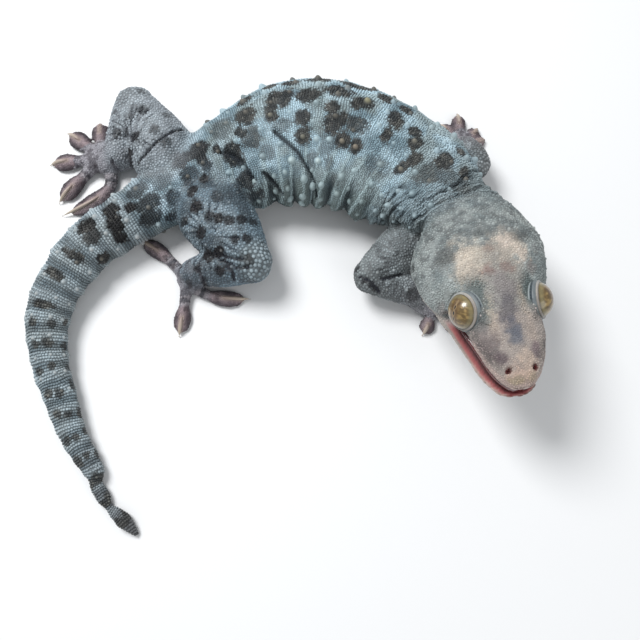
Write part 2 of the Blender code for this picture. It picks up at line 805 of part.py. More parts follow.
def main():
    clear_scene()
    nodes = []
    start = 0.0
    total = by_length(SPINE, None)
    for name, end, around, spacing in NODE_ENDS:
        end = min(end, total)
        tip = GAP / 2 if end < total else 0.0
        bm = spine_node(name, start + GAP / 2, end - tip, around, spacing)
        nodes.append(finish_node(name, object_of(name, bm), "skin"))
        start = end
    for name, limb in LIMBS.items():
        kind, side = name.split("_")
        if kind == "arm":
            names = (f"arm_{side}_upper", f"arm_{side}_lower", f"hand_{side}")
        else:
            names = (f"thigh_{side}", f"shin_{side}", f"foot_{side}")
        nodes.append(finish_node(names[0], upper_limb(limb), "skin"))
        nodes.append(finish_node(names[1], lower_limb(limb), "skin"))
        nodes.append(finish_node(names[2], foot(limb), "toes"))
    nodes.append(finish_node("head", head_object(), "head_skin"))
    nodes.append(finish_node("lower_jaw", jaw_object(JAW, 20), "head_skin"))
    nodes.append(finish_node("mouth_lining", jaw_object(LINING, 16), "mouth"))
    nodes.append(finish_node("eye_left", eye_object(1), "eye"))
    nodes.append(finish_node("eye_right", eye_object(-1), "eye"))
    low = np.min([np.min([v.co for v in n.data.vertices], axis=0) for n in nodes], axis=0)
    high = np.max([np.max([v.co for v in n.data.vertices], axis=0) for n in nodes], axis=0)
    middle = (low + high) / 2
    gecko = bpy.data.objects.new("gecko", None)
    bpy.context.scene.collection.objects.link(gecko)
    gecko.location = (-middle[0], -middle[1], 0.0)
    for node in nodes:
        node.parent = gecko


main()
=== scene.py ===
"""The finished looks of a life-size tokay gecko: skin, granules, tubercles, eyes, claws and mouth.

Body sizes are in millimetres in the same plan frame as the solids. place() turns them into
metres in the frame. Lengths along the body run from the nape to the tail's tip, and an angle
round it is 0 along the back, positive to the animal's left and 180 along the belly.
"""

import math

import bpy
import numpy as np
from mathutils import Matrix, Vector
from mathutils.bvhtree import BVHTree
from mathutils.kdtree import KDTree


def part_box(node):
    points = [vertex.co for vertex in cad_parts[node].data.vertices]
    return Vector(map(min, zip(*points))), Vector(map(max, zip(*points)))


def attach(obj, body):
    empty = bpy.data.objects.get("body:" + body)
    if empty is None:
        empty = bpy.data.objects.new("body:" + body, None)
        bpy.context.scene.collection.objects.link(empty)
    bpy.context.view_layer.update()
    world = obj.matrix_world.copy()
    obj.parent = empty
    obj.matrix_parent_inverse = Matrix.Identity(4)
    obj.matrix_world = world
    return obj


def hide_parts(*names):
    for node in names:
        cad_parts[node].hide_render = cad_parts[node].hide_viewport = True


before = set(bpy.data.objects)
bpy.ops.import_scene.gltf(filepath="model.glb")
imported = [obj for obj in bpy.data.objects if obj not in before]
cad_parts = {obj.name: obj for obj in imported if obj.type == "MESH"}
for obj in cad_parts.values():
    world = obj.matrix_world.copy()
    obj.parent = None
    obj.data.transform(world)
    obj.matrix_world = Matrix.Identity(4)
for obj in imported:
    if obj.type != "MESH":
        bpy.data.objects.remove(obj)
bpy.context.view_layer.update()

MM = 0.001
SEED = 4606
rng = np.random.default_rng(SEED)

# How far the skin lies inside the solids, to leave room for its scales, and the size of its faces
COAT = 0.28
VOXEL = 0.66
# The least height of the skin and of the scales above the floor
SKIN_LOW = 0.05
SCALE_LOW = 0.02

# Head frame: the point midway between the eyes, the way the snout points, and its upward pitch
HEAD_AT = np.array((50.0, -3.0, 34.0))
HEAD_TURN = math.radians(-81.0)
HEAD_PITCH = math.radians(18.0)

# Spine stations from the nape to the tail tip:
# x, y, height of the widest line, half width, rise above it, drop below it, pitch in degrees
SPINE = np.array((
    (44.6, 27.8, 22.4, 13.6, 8.0, 11.2, 18.0),
    (39.9, 31.9, 19.4, 13.2, 9.2, 12.6, 13.0),
    (36.1, 37.4, 16.2, 16.4, 10.6, 13.8, 8.0),
    (32.0, 42.4, 13.4, 18.8, 11.9, 12.9, 4.0),
    (26.2, 46.8, 11.6, 19.8, 13.0, 11.6, 0.0),
    (17.8, 51.5, 11.6, 20.8, 13.6, 11.6, 0.0),
    (9.4, 55.0, 11.8, 21.2, 14.0, 11.8, 0.0),
    (-1.6, 57.1, 11.8, 21.2, 14.0, 11.8, 0.0),
    (-13.0, 56.1, 11.6, 20.2, 13.6, 11.6, 0.0),
    (-23.4, 52.8, 11.0, 17.6, 12.4, 11.0, 0.0),
    (-33.5, 49.0, 9.8, 14.6, 11.0, 9.8, 0.0),
    (-43.4, 44.5, 8.8, 12.0, 9.6, 8.8, 0.0),
    (-52.2, 39.0, 8.0, 10.2, 8.4, 8.0, 0.0),
    (-59.9, 34.0, 7.6, 9.2, 7.8, 7.6, 0.0),
    (-73.7, 24.3, 7.0, 8.4, 7.2, 7.0, 0.0),
    (-81.5, 14.0, 6.5, 7.6, 6.6, 6.5, 0.0),
    (-85.5, 5.6, 6.0, 7.1, 6.2, 6.0, 0.0),
    (-87.0, -3.4, 5.6, 6.5, 5.7, 5.6, 0.0),
    (-85.1, -16.0, 4.8, 5.5, 4.9, 4.8, 0.0),
    (-82.6, -22.9, 4.4, 5.1, 4.5, 4.4, 0.0),
    (-77.1, -36.8, 3.6, 4.1, 3.7, 3.6, 0.0),
    (-70.4, -47.7, 2.8, 3.1, 2.9, 2.8, 0.0),
    (-69.2, -52.4, 1.7, 1.7, 1.7, 1.7, 0.0),
    (-67.4, -55.2, 2.1, 2.2, 2.1, 2.1, 0.0),
    (-64.9, -59.3, 1.1, 1.1, 1.1, 1.1, 0.0),
    (-61.6, -61.8, 2.0, 2.1, 2.0, 2.0, 0.0),
    (-58.6, -64.6, 1.8, 1.9, 1.8, 1.8, 0.0),
    (-55.5, -68.0, 0.6, 0.5, 0.5, 0.6, 0.0),
))
# How far behind the nape the neck has turned from the head's heading to its own
NECK_TURN = 9.0
# How square the body's cross-section is, and how deep its belly before the floor cuts it flat
BODY_POWER = 2.15
BELLY_DEPTH = 1.05
# The belly beyond this many degrees from the back has no granules
BELLY_EDGE = 152

# The eyes, in the head's own frame, each looking out along its axis
EYE_RADIUS = 5.4
EYE_AT = np.array((0.6, 9.3, 0.8))
EYE_AXIS = np.array((0.25, 0.84, 0.42))
EYE_OPENING = 4.9
EYE_EDGE = math.asin(EYE_OPENING / EYE_RADIUS)
# The animal's two sides, by their sign across the head
SIDES = {1: "left", -1: "right"}
# The bony brow above each eye
BROW_AT = np.array((1.2, 6.2, 5.2))
BROW_SIZE = np.array((7.2, 3.3, 2.2))
# The lid's least and greatest width, as an angle, and the way round the eye of its widest place,
# from the top towards the snout
LID_WIDTH = (0.25, 0.5)
LID_FRONT = 0.7

# Limb joints and the radius at each. Each toe has the way it leaves the palm's middle and how far
# that pulls its curve, then the way to its tip and how far off that is
LIMBS = {
    "arm_right": {
        "root": (33.5, 28.6, 10.0, 7.8),
        "bend": (16.4, 12.4, 9.4, 5.9),
        "end": (31.0, 7.6, 5.4, 4.7),
        "bulge": 0.8,
        "palm": (36.0, 5.0),
        "toes": (
            (84, 5, 84, 10.0), (46, 6, 46, 12.4), (2, 6, 2, 13.0), (-44, 6, -44, 12.6), (-85, 5, -103, 9.6),
        ),
        "toe_size": 0.84,
    },
    "arm_left": {
        "root": (33.5, 43.5, 12.0, 8.0),
        "bend": (50.6, 50.6, 9.6, 5.6),
        "end": (49.0, 58.4, 5.4, 4.2),
        "bulge": 0.4,
        "palm": (48.8, 61.4),
        "toes": (
            (14, 4, 14, 8.0), (40, 4, 46, 8.0), (96, 5, 94, 11.0), (130, 5, 134, 10.0), (170, 4, 176, 8.6),
        ),
        "toe_size": 0.82,
    },
    "leg_right": {
        "root": (-41.0, 42.6, 10.0, 12.0),
        "bend": (-22.2, 16.8, 11.0, 7.2),
        "end": (-41.0, 14.4, 6.2, 4.8),
        "bulge": 2.4,
        "palm": (-43.8, 12.8),
        "toes": (
            (40, 6, 32, 12.4), (6, 8, 6, 16.0), (-48, 9, -18, 19.4), (-92, 9, -96, 17.0),
            (124, 10, 138, 20.0),
        ),
        "toe_size": 0.9,
    },
    "leg_left": {
        "root": (-45.5, 44.8, 10.0, 11.6),
        "bend": (-61.4, 70.0, 11.0, 6.8),
        "end": (-67.2, 56.2, 6.2, 5.6),
        "bulge": 1.4,
        "palm": (-74.4, 55.6),
        "toes": (
            (100, 7, 98, 13.6), (135, 7, 141, 15.2), (180, 8, 184, 16.6), (222, 9, 227, 19.0),
            (313, 15, 244, 20.6),
        ),
        "toe_size": 1.0,
    },
}
# The forearm's or calf's thickest place beside the elbow's or knee's radius, and how far along it lies
CALF = 0.96
CALF_AT = 0.45
# How slim an upper limb starts inside the body beside its full radius, how far along it has grown to
# that, and how far its start is sunk
ROOT_SLIM = 0.62
ROOT_GROWN = 0.3
ROOT_SINK = 2.0

# The palm: share of the way from the wrist to its middle, then half width and height in wrist radii
PALM_PROFILE = (
    (-0.9, 0.82, 1.78),
    (0.0, 1.0, 1.58),
    (0.8, 1.06, 1.26),
    (1.4, 0.84, 1.0),
    (1.9, 0.4, 0.74),
)

# A toe with its pad: share of its length, half width and height. It starts this share of its path out
TOE_START = 0.08
TOE_PROFILE = (
    (0.00, 2.4, 4.4),
    (0.30, 2.1, 3.6),
    (0.46, 2.1, 3.0),
    (0.60, 3.0, 2.6),
    (0.78, 3.4, 2.3),
    (0.93, 2.7, 1.8),
    (1.00, 1.3, 1.2),
)
# The rounded ridge along the top of each pad: share of the toe's path and radius
TOE_RIDGE = ((0.5, 0.5), (0.62, 1.0), (0.9, 0.95), (1.0, 0.7))
# How far apart the toes' joints are, as a share of the toe's path
TOE_BAND = 0.14

# The head's sections: x, half width, top, bottom and how square its roof is
SKULL = np.array((
    (-32.6, 13.6, 8.0, -11.2, 2.2),
    (-27.0, 16.3, 8.8, -12.4, 2.3),
    (-20.0, 18.9, 9.6, -13.0, 2.4),
    (-13.0, 18.4, 10.0, -13.2, 2.3),
    (-7.0, 16.8, 9.6, -13.0, 2.1),
    (-3.4, 15.2, 9.0, -12.8, 1.9),
))
SNOUT = np.array((
    (-8.0, 15.6, 9.0, -6.2, 2.1),
    (-3.0, 15.2, 9.0, -5.8, 1.9),
    (1.5, 13.2, 8.4, -5.6, 1.7),
    (6.0, 11.6, 7.2, -5.4, 1.8),
    (11.0, 9.9, 5.6, -5.2, 2.0),
    (16.0, 8.4, 3.9, -5.0, 2.1),
    (20.0, 6.6, 2.3, -4.8, 2.1),
    (22.6, 4.6, 0.6, -4.6, 2.0),
    (24.0, 2.4, -1.6, -4.4, 2.0),
))
# The lower jaw's sections: x, half width, top and bottom
JAW = np.array((
    (-8.0, 15.0, -6.4, -12.8),
    (-2.6, 15.0, -6.6, -12.8),
    (1.5, 13.2, -7.2, -12.6),
    (6.0, 11.9, -7.6, -12.2),
    (11.0, 10.3, -8.0, -11.8),
    (16.0, 8.8, -8.2, -11.4),
    (20.0, 6.8, -8.3, -11.0),
    (22.4, 4.8, -8.3, -10.4),
    (23.8, 2.4, -8.3, -9.6),
))
# How square the skull's underside and the jaw's top and underside are
SKULL_UNDER = 3.4
JAW_TOP = 4.0
JAW_UNDER = 2.4
# How far up each of its sections the head is widest
WIDEST_AT = 0.42


def unit(vectors):
    """The vectors at length 1."""
    return vectors / np.linalg.norm(vectors, axis=-1, keepdims=True)


def ease(low, high, value):
    """0 below low, 1 above high and smooth between, or the other way round where low is above high."""
    share = np.clip((value - low) / (high - low), 0.0, 1.0)
    return share * share * (3 - 2 * share)


def tint(red, green, blue):
    """A colour as the eye reads it, 0 to 255, in the linear values that shaders take."""
    seen = np.array((red, green, blue)) / 255
    return np.where(seen < 0.04045, seen / 12.92, ((seen + 0.055) / 1.055) ** 2.4)


def mix(first, second, share):
    """Colours between first and second, by one share for all or one for each."""
    share = np.asarray(share)[..., None]
    return first * (1 - share) + second * share


def mix_number(first, second, share):
    """Numbers between first and second."""
    return first + (second - first) * share


# How strong each finer layer of rough noise is beside the one before
FINER = 0.6


def noise(points, cell, seed):
    """Smooth seeded noise from 0 to 1, with lumps about as large as cell, by hashing each cell's corners."""
    at = np.asarray(points, float) / cell
    low = np.floor(at).astype(np.int64)
    part = at - low
    part = part * part * (3 - 2 * part)
    total = np.zeros(len(at))
    for corner in range(8):
        step = np.array((corner & 1, corner >> 1 & 1, corner >> 2 & 1))
        key = ((low + step) * (73856093, 19349663, 83492791)).sum(axis=1) + seed * 374761393
        key = (key ^ key >> 13) * 1274126177 & 0xFFFFFFFF
        value = ((key ^ key >> 16) & 0xFFFF) / 0xFFFF
        total += value * np.prod(np.where(step, part, 1 - part), axis=1)
    return total


def rough_noise(points, cell, seed):
    """Noise with two finer layers on top of it, from 0 to 1."""
    layers = (noise(points, cell / 2**k, seed + k) * FINER**k for k in range(3))
    return sum(layers) / (1 + FINER + FINER**2)


def smooth_rows(rows, at):
    """Rows read off a Catmull-Rom curve through the given rows, at fractions of a row."""
    rows = np.asarray(rows, float)
    padded = np.vstack((2 * rows[0] - rows[1], rows, 2 * rows[-1] - rows[-2]))
    at = np.clip(np.asarray(at, float), 0, len(rows) - 1 - 1e-9)
    start = at.astype(int)
    t = (at - start)[:, None]
    a, b, c, d = (padded[start + k] for k in range(4))
    return 0.5 * (2 * b + (c - a) * t + (2 * a - 5 * b + 4 * c - d) * t**2 + (3 * b - a - 3 * c + d) * t**3)


def resampled(table, count):
    """So many evenly spaced rows off the smooth curve through a table's rows."""
    return smooth_rows(table, np.linspace(0, len(table) - 1, count))


def circle(count):
    """So many angles round a circle, from 0."""
    return np.linspace(0, 2 * math.pi, count, endpoint=False)


def circle_from_below(count):
    """So many angles round a circle, from half a step past its lowest place."""
    return -math.pi / 2 + 2 * math.pi * (np.arange(count) + 0.5) / count


def running_length(points):
    """How far along the line each of its points is."""
    return np.concatenate(([0.0], np.cumsum(np.linalg.norm(np.diff(points, axis=0), axis=1))))


def tree_of(points):
    """A tree that finds the points nearest to a place."""
    tree = KDTree(len(points))
    for index, point in enumerate(points):
        tree.insert(point, index)
    tree.balance()
    return tree


SPINE_STEPS = np.linspace(0, len(SPINE) - 1, 60 * len(SPINE))
SPINE_RUN = running_length(smooth_rows(SPINE, SPINE_STEPS)[:, :2])
BODY_LENGTH = SPINE_RUN[-1]
# Half the length over which the spine's heading is taken
HEADING_STEP = 0.4


def spine_rows(lengths):
    """The spine's rows at these lengths from the nape."""
    return smooth_rows(SPINE, np.interp(lengths, SPINE_RUN, SPINE_STEPS))


def spine_frame(lengths):
    """The rows at these lengths, with the ways ahead, left and up of each cross-section."""
    rows = spine_rows(lengths)
    ahead = spine_rows(lengths - HEADING_STEP) - spine_rows(lengths + HEADING_STEP)
    share = np.clip(1 - lengths / NECK_TURN, 0, 1)[:, None]
    facing = np.array((math.cos(HEAD_TURN), math.sin(HEAD_TURN)))
    heading = unit(unit(ahead[:, :2]) * (1 - share) + facing * share)
    flat = np.zeros(len(rows))
    forward = np.column_stack((heading, flat))
    left = np.column_stack((-heading[:, 1], heading[:, 0], flat))
    pitch = np.radians(rows[:, 6])[:, None]
    up = np.array((0.0, 0.0, 1.0)) * np.cos(pitch) - forward * np.sin(pitch)
    return rows, forward, left, up


def rounded(value, power):
    """A sine or cosine bent so that a circle becomes squarer the higher the power."""
    return np.sign(value) * np.abs(value) ** (2 / power)


def spine_surface(lengths, angles, grow=0.0):
    """Points of the neck, trunk and tail at these lengths and angles in radians."""
    rows, _, left, up = spine_frame(lengths)
    u, v = rounded(np.sin(angles), BODY_POWER), rounded(np.cos(angles), BODY_POWER)
    depth = np.where(v > 0, rows[:, 4], rows[:, 5] * BELLY_DEPTH)
    height = np.maximum(v * (depth + grow), -rows[:, 5] - grow)
    points = rows[:, :3] + left * (u * (rows[:, 3] + grow))[:, None] + up * height[:, None]
    points[:, 2] = np.maximum(points[:, 2], SKIN_LOW)
    return points


def spine_place(points):
    """Length, angle, how far out each point is as a share of the body's radius, and the spine's row there."""
    steps = np.arange(0.0, BODY_LENGTH, 0.5)
    tree = tree_of(spine_rows(steps)[:, :3])
    lengths = steps[[tree.find(point)[1] for point in points]]
    rows, forward, _, _ = spine_frame(lengths)
    lengths = np.clip(lengths - ((points - rows[:, :3]) * forward).sum(axis=1), 0.0, BODY_LENGTH)
    rows, forward, left, up = spine_frame(lengths)
    away = points - rows[:, :3]
    across = (away * left).sum(axis=1) / rows[:, 3]
    height = (away * up).sum(axis=1)
    height = height / np.where(height > 0, rows[:, 4], rows[:, 5])
    return lengths, np.arctan2(across, height), np.hypot(across, height), rows


def head_matrix():
    """Turns places in the head's frame into plan millimetres."""
    turn = Matrix.Rotation(HEAD_TURN, 4, "Z") @ Matrix.Rotation(-HEAD_PITCH, 4, "Y")
    return np.array(Matrix.Translation(Vector(HEAD_AT)) @ turn)


HEAD = head_matrix()


def from_head(points):
    """Plan millimetres for places in the head's frame."""
    return points @ HEAD[:3, :3].T + HEAD[:3, 3]


def into_head(points):
    """Places in the head's frame for plan millimetres."""
    return (points - HEAD[:3, 3]) @ HEAD[:3, :3]


# The solids' frame is the plan frame moved along the floor, found from where the left eye is
low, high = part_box("eye_left")
SHIFT = (np.array(low) + np.array(high)) / 2 / MM - from_head(EYE_AT)
SHIFT[2] = 0.0


def place(points):
    """Plan millimetres to metres in the frame."""
    return (points + SHIFT) * MM


def tube_faces(count, around):
    """Faces between so many rings that lie one after the other, as a list."""
    here = np.arange(around)
    after = (here + 1) % around
    rows = np.arange(count - 1)[:, None] * around
    quads = np.stack((rows + here, rows + after, rows + around + after, rows + around + here), axis=-1)
    return quads.reshape(-1, 4).tolist()


def loft(rings):
    """Points and faces of a closed tube over the rings."""
    rings = np.asarray(rings, float)
    count, around = rings.shape[:2]
    points = np.vstack((rings.reshape(-1, 3), rings[0].mean(axis=0), rings[-1].mean(axis=0)))
    here = np.arange(around)
    after = (here + 1) % around
    last = (count - 1) * around
    start_cap = np.column_stack((after, here, np.full(around, count * around)))
    end_cap = np.column_stack((last + here, last + after, np.full(around, count * around + 1)))
    return points, tube_faces(count, around) + start_cap.tolist() + end_cap.tolist()


def joined(forms):
    """One set of points and faces from many."""
    points, faces, offset = [], [], 0
    for some_points, some_faces in forms:
        points.append(some_points)
        faces.extend([corner + offset for corner in face] for face in some_faces)
        offset += len(some_points)
    return np.vstack(points), faces


def body_inset(lengths):
    """How far in the skin lies, which is less where the tail is thin."""
    full_at = 6
    return -COAT * np.minimum(1.0, spine_rows(lengths)[:, 3] / full_at)


def spine_form():
    """The neck, trunk and tail, with a plug that reaches into the head."""
    around = 72
    plug_size, plug_reach = 0.9, 4.0
    angles = circle(around)
    rings = []
    for length in np.arange(0.0, BODY_LENGTH, 1.0):
        lengths = np.full(around, length)
        rings.append(spine_surface(lengths, angles, body_inset(lengths)))
    _, forward, _, _ = spine_frame(np.zeros(1))
    middle = rings[0].mean(axis=0)
    rings.insert(0, middle + (rings[0] - middle) * plug_size + forward[0] * plug_reach)
    return loft(rings)


def bone(points):
    """A closed round tube along points of x, y, z and radius, with round ends."""
    around = 28
    rows = resampled(points, 5 * len(points))
    back, ahead = unit(rows[0, :3] - rows[1, :3]), unit(rows[-1, :3] - rows[-2, :3])
    caps = []
    for end, way in ((rows[0], back), (rows[-1], ahead)):
        turn = np.radians((18, 36, 54, 72, 86))
        centres = end[:3] + np.outer(np.sin(turn), way) * end[3]
        caps.append(np.column_stack((centres, np.cos(turn) * end[3])))
    rows = np.vstack((caps[0][::-1], rows, caps[1]))
    ways = unit(np.gradient(rows[:, :3], axis=0))
    side = unit(np.cross(ways, (0.0, 0.0, 1.0)))
    up = np.cross(side, ways)
    turn = circle(around)[None, :, None]
    radii = (rows[:, 3] - COAT)[:, None, None]
    rings = rows[:, None, :3] + radii * (side[:, None] * np.cos(turn) + up[:, None] * np.sin(turn))
    rings[..., 2] = np.maximum(rings[..., 2], SKIN_LOW)
    return loft(rings)


def upper_points(limb):
    """The middle line of the upper arm or thigh: it starts slim inside the body."""
    root, bend = np.array(limb["root"]), np.array(limb["bend"])
    points = []
    for share in np.linspace(0.0, 1.0, 7):
        point = root + (bend - root) * share
        point[3] += limb["bulge"] * math.sin(math.pi * share)
        point[3] *= ROOT_SLIM + (1 - ROOT_SLIM) * float(ease(0.0, ROOT_GROWN, share))
        point[2] -= ROOT_SINK * (1 - share) ** 2
        points.append(point)
    return np.array(points)


def lower_points(limb):
    """The middle line of the forearm or shin."""
    bend, end = np.array(limb["bend"]), np.array(limb["end"])
    calf = bend + (end - bend) * CALF_AT
    calf[3] = bend[3] * CALF
    return np.array((bend, calf, end))


# How far below the floor a sole's round section would reach, beside its half height, before it is cut flat
SOLE_CUT = 1.12


def floor_rings(centres, ways, halves, rises, around=18):
    """Flat-soled cross-sections that lie on the floor."""
    angle = circle_from_below(around)
    side = np.column_stack((-ways[:, 1], ways[:, 0], np.zeros(len(ways))))
    rings = centres[:, None] + side[:, None] * (np.cos(angle)[None, :, None] * halves[:, None, None])
    rings[..., 2] = np.maximum(SKIN_LOW, rises[:, None] * 0.5 * (1 + np.sin(angle) * SOLE_CUT))
    return rings


def floor_way(degrees):
    """A unit vector along the floor."""
    return np.array((math.cos(math.radians(degrees)), math.sin(math.radians(degrees)), 0.0))


def toe_path(palm, toe_row, shares):
    """Points of a toe's curved middle line, and the way it runs there."""
    leave, pull, angle, distance = toe_row
    start = np.array((*palm, 0.0))
    knuckle = start + floor_way(leave) * pull
    tip = start + floor_way(angle) * distance
    t = np.asarray(shares, float)[:, None]
    points = start * (1 - t) ** 2 + knuckle * 2 * t * (1 - t) + tip * t**2
    return points, unit((knuckle - start) * (1 - t) + (tip - knuckle) * t)


def toe_rows(count):
    """Share of the toe's path, half width and height, at this many places along it."""
    rows = resampled(TOE_PROFILE, count)
    rows[:, 0] = TOE_START + (1 - TOE_START) * rows[:, 0]
    return rows


def toe_forms(limb, toe_row):
    """A toe with its flat-soled pad, and the ridge along the pad's top."""
    size = limb["toe_size"]
    rows = toe_rows(18)
    points, ways = toe_path(limb["palm"], toe_row, rows[:, 0])
    pad = loft(floor_rings(points, ways, rows[:, 1] * size - COAT / 2, rows[:, 2] * size - COAT / 2))
    ridge_at, ridge_radii = np.array(TOE_RIDGE).T
    shares = np.linspace(ridge_at[0], ridge_at[-1], 8)
    points, _ = toe_path(limb["palm"], toe_row, shares)
    heights = np.interp(shares, rows[:, 0], rows[:, 2]) * size
    radii = np.interp(shares, ridge_at, ridge_radii) * size
    points[:, 2] = heights - radii * 0.35
    return [pad, bone(np.column_stack((points, radii + COAT)))]


def foot_forms(limb):
    """A palm and its five toes."""
    end, palm = np.array(limb["end"]), np.array((*limb["palm"], 0.0))
    wrist = np.array((end[0], end[1], 0.0))
    rows = resampled(PALM_PROFILE, 14)
    centres = wrist + (palm - wrist) * rows[:, :1]
    ways = np.repeat(unit(palm - wrist)[None], len(rows), axis=0)
    forms = [loft(floor_rings(centres, ways, rows[:, 1] * end[3] - COAT, rows[:, 2] * end[3] - COAT))]
    for toe_row in limb["toes"]:
        forms.extend(toe_forms(limb, toe_row))
    return forms


def head_rings(table, top_power, low_power):
    """Head sections: rounded above by top_power, or by the table where that is None, and flatter below."""
    around = 64
    turn = circle_from_below(around)
    rings = []
    for row in resampled(table, 6 * len(table)):
        x, half, top, bottom = row[:4]
        power = row[4] if top_power is None else top_power
        half, top, bottom = half - COAT, top - COAT, bottom + COAT / 2
        middle = bottom + (top - bottom) * WIDEST_AT
        square = np.where(np.sin(turn) > 0, power, low_power)
        u, v = rounded(np.cos(turn), square), rounded(np.sin(turn), square)
        height = middle + v * np.where(v > 0, top - middle, middle - bottom)
        rings.append(np.column_stack((np.full(around, x), u * half, height)))
    return rings


def ball(middle, size, around=28, steps=16):
    """A closed ellipsoid in the head's frame."""
    tall = np.linspace(0.04, math.pi - 0.04, steps)[:, None]
    turn = circle(around)[None]
    sides = np.cos(tall) + 0 * turn, np.sin(tall) * np.cos(turn), np.sin(tall) * np.sin(turn)
    return np.stack(sides, axis=-1) * size + middle


def head_forms():
    """The skull, the snout, the lower jaw and a brow over each eye."""
    forms = [
        head_rings(SKULL, None, SKULL_UNDER),
        head_rings(SNOUT, None, SKULL_UNDER),
        head_rings(JAW, JAW_TOP, JAW_UNDER),
    ]
    for side in SIDES:
        forms.append(ball(BROW_AT * (1, side, 1), BROW_SIZE))
    return [loft(from_head(np.asarray(rings))) for rings in forms]


def mesh_of(name, points, faces):
    """A mesh from points and faces."""
    mesh = bpy.data.meshes.new(name)
    mesh.from_pydata(np.asarray(points, float).tolist(), [], faces)
    return mesh


def add_object(name, mesh):
    """Puts a mesh, light or camera in the scene."""
    made = bpy.data.objects.new(name, mesh)
    bpy.context.scene.collection.objects.link(made)
    return made


def vertex_array(mesh):
    """The mesh's points as rows."""
    points = np.empty(len(mesh.vertices) * 3, np.float32)
    mesh.vertices.foreach_get("co", points)
    return points.reshape(-1, 3).astype(float)


def normal_array(mesh):
    """The mesh's smooth normals, one a point."""
    normals = np.empty(len(mesh.vertices) * 3, np.float32)
    mesh.vertex_normals.foreach_get("vector", normals)
    return normals.reshape(-1, 3).astype(float)


def edge_array(mesh):
    """The numbers of the two points at each edge's ends."""
    edges = np.empty(len(mesh.edges) * 2, np.int32)
    mesh.edges.foreach_get("vertices", edges)
    return edges.reshape(-1, 2)


def set_points(mesh, points):
    """Moves the mesh's points."""
    mesh.vertices.foreach_set("co", np.asarray(points, np.float32).reshape(-1))
    mesh.update()


def smooth(mesh):
    """Shades the mesh's faces smoothly."""
    mesh.polygons.foreach_set("use_smooth", np.ones(len(mesh.polygons), bool))


def neighbour_mean(values, edges):
    """The mean of each point's neighbours along the edges."""
    count = len(values)
    ends = np.concatenate((edges[:, 0], edges[:, 1]))
    others = np.concatenate((edges[:, 1], edges[:, 0]))
    degree = np.maximum(1, np.bincount(ends, minlength=count))
    columns = [np.bincount(ends, weights=column[others], minlength=count) for column in values.T]
    return np.column_stack(columns) / degree[:, None]


def relax(points, edges, strength, rounds):
    """Smooths the points by this much at each, growing back what each round shrinks."""
    for _ in range(rounds):
        points = points + (neighbour_mean(points, edges) - points) * strength * 0.5
        points = points - (neighbour_mean(points, edges) - points) * strength * 0.5
    return points


def melt(points, edges, strength, rounds):
    """Smooths the points by this much at each, filling sharp corners in."""
    strength = np.broadcast_to(strength, len(points))[:, None]
    for _ in range(rounds):
        points = points + (neighbour_mean(points, edges) - points) * strength * 0.6
    return points


def main_island(mesh):
    """Removes every piece of the mesh but the one with most points."""
    edges = edge_array(mesh)
    label = np.arange(len(mesh.vertices))
    while True:
        least = np.minimum(label[edges[:, 0]], label[edges[:, 1]])
        after = label.copy()
        np.minimum.at(after, edges[:, 0], least)
        np.minimum.at(after, edges[:, 1], least)
        after = after[after]
        if np.array_equal(after, label):
            break
        label = after
    biggest = np.bincount(label).argmax()
    keep = label == biggest
    if keep.all():
        return mesh
    number = np.cumsum(keep) - 1
    faces = [[int(number[v]) for v in face.vertices] for face in mesh.polygons if keep[face.vertices[0]]]
    return mesh_of(mesh.name, vertex_array(mesh)[keep], faces)


def raw_skin():
    """Every fleshy form as one closed surface, in plan millimetres."""
    forms = [spine_form()]
    for limb in LIMBS.values():
        forms.append(bone(upper_points(limb)))
        forms.append(bone(lower_points(limb)))
        forms.extend(foot_forms(limb))
    forms.extend(head_forms())
    points, faces = joined(forms)
    shape = add_object("forms", mesh_of("forms", points, faces))
    fuse = shape.modifiers.new("fuse", "REMESH")
    fuse.mode = "VOXEL"
    fuse.voxel_size = VOXEL
    graph = bpy.context.evaluated_depsgraph_get()
    mesh = bpy.data.meshes.new_from_object(shape.evaluated_get(graph))
    bpy.data.objects.remove(shape)
    return main_island(mesh)


# How far the longest toes reach from their palm's middle
FOOT_SPAN = 21.0
# How far regions blend into each other, in millimetres, for shapes and for colours
SHAPE_BLEND = 0.9
COLOUR_BLEND = 2.2
# More than any place is from a limb or toe
FAR = 1e9
# How far aside of a toe's middle line places on no toe count as
NO_TOE = 9.0


def part_way(points, start, end):
    """How far along the line from start to end each point is, from 0 to 1, and its distance from it."""
    along = end - start
    share = np.clip(((points - start) @ along) / (along @ along), 0, 1)
    return share, np.linalg.norm(points - start - share[:, None] * along, axis=1)


class Limbward:
    """The nearest limb: how far outside it points are, which it is, and how it runs there."""

    def __init__(self, points):
        count = len(points)
        self.reach, self.share = np.full(count, FAR), np.zeros(count)
        self.number, self.way, self.turn = np.zeros(count, int), np.zeros((count, 3)), np.zeros(count)
        for number, limb in enumerate(LIMBS.values()):
            line = np.vstack((upper_points(limb), lower_points(limb)))
            for k, (near, far) in enumerate(zip(line[:-1], line[1:])):
                if np.array_equal(near[:3], far[:3]):
                    continue
                share, away = part_way(points, near[:3], far[:3])
                reach = away - near[3] - (far[3] - near[3]) * share
                self.take(reach < self.reach, points, near, far, reach, (k + share) / len(line), number)

    def take(self, better, points, near, far, reach, share, number):
        """Where better is true, takes this stretch of this limb as the nearest."""
        way = unit(far[:3] - near[:3])
        side = unit(np.cross(way, (0.0, 0.0, 1.0)))
        off = points - near[:3]
        turn = np.arctan2(off @ side, off @ np.cross(side, way)) / (2 * math.pi) + 0.5
        self.reach = np.where(better, reach, self.reach)
        self.share = np.where(better, share, self.share)
        self.number = np.where(better, number, self.number)
        self.turn = np.where(better, turn, self.turn)
        self.way = np.where(better[:, None], way, self.way)


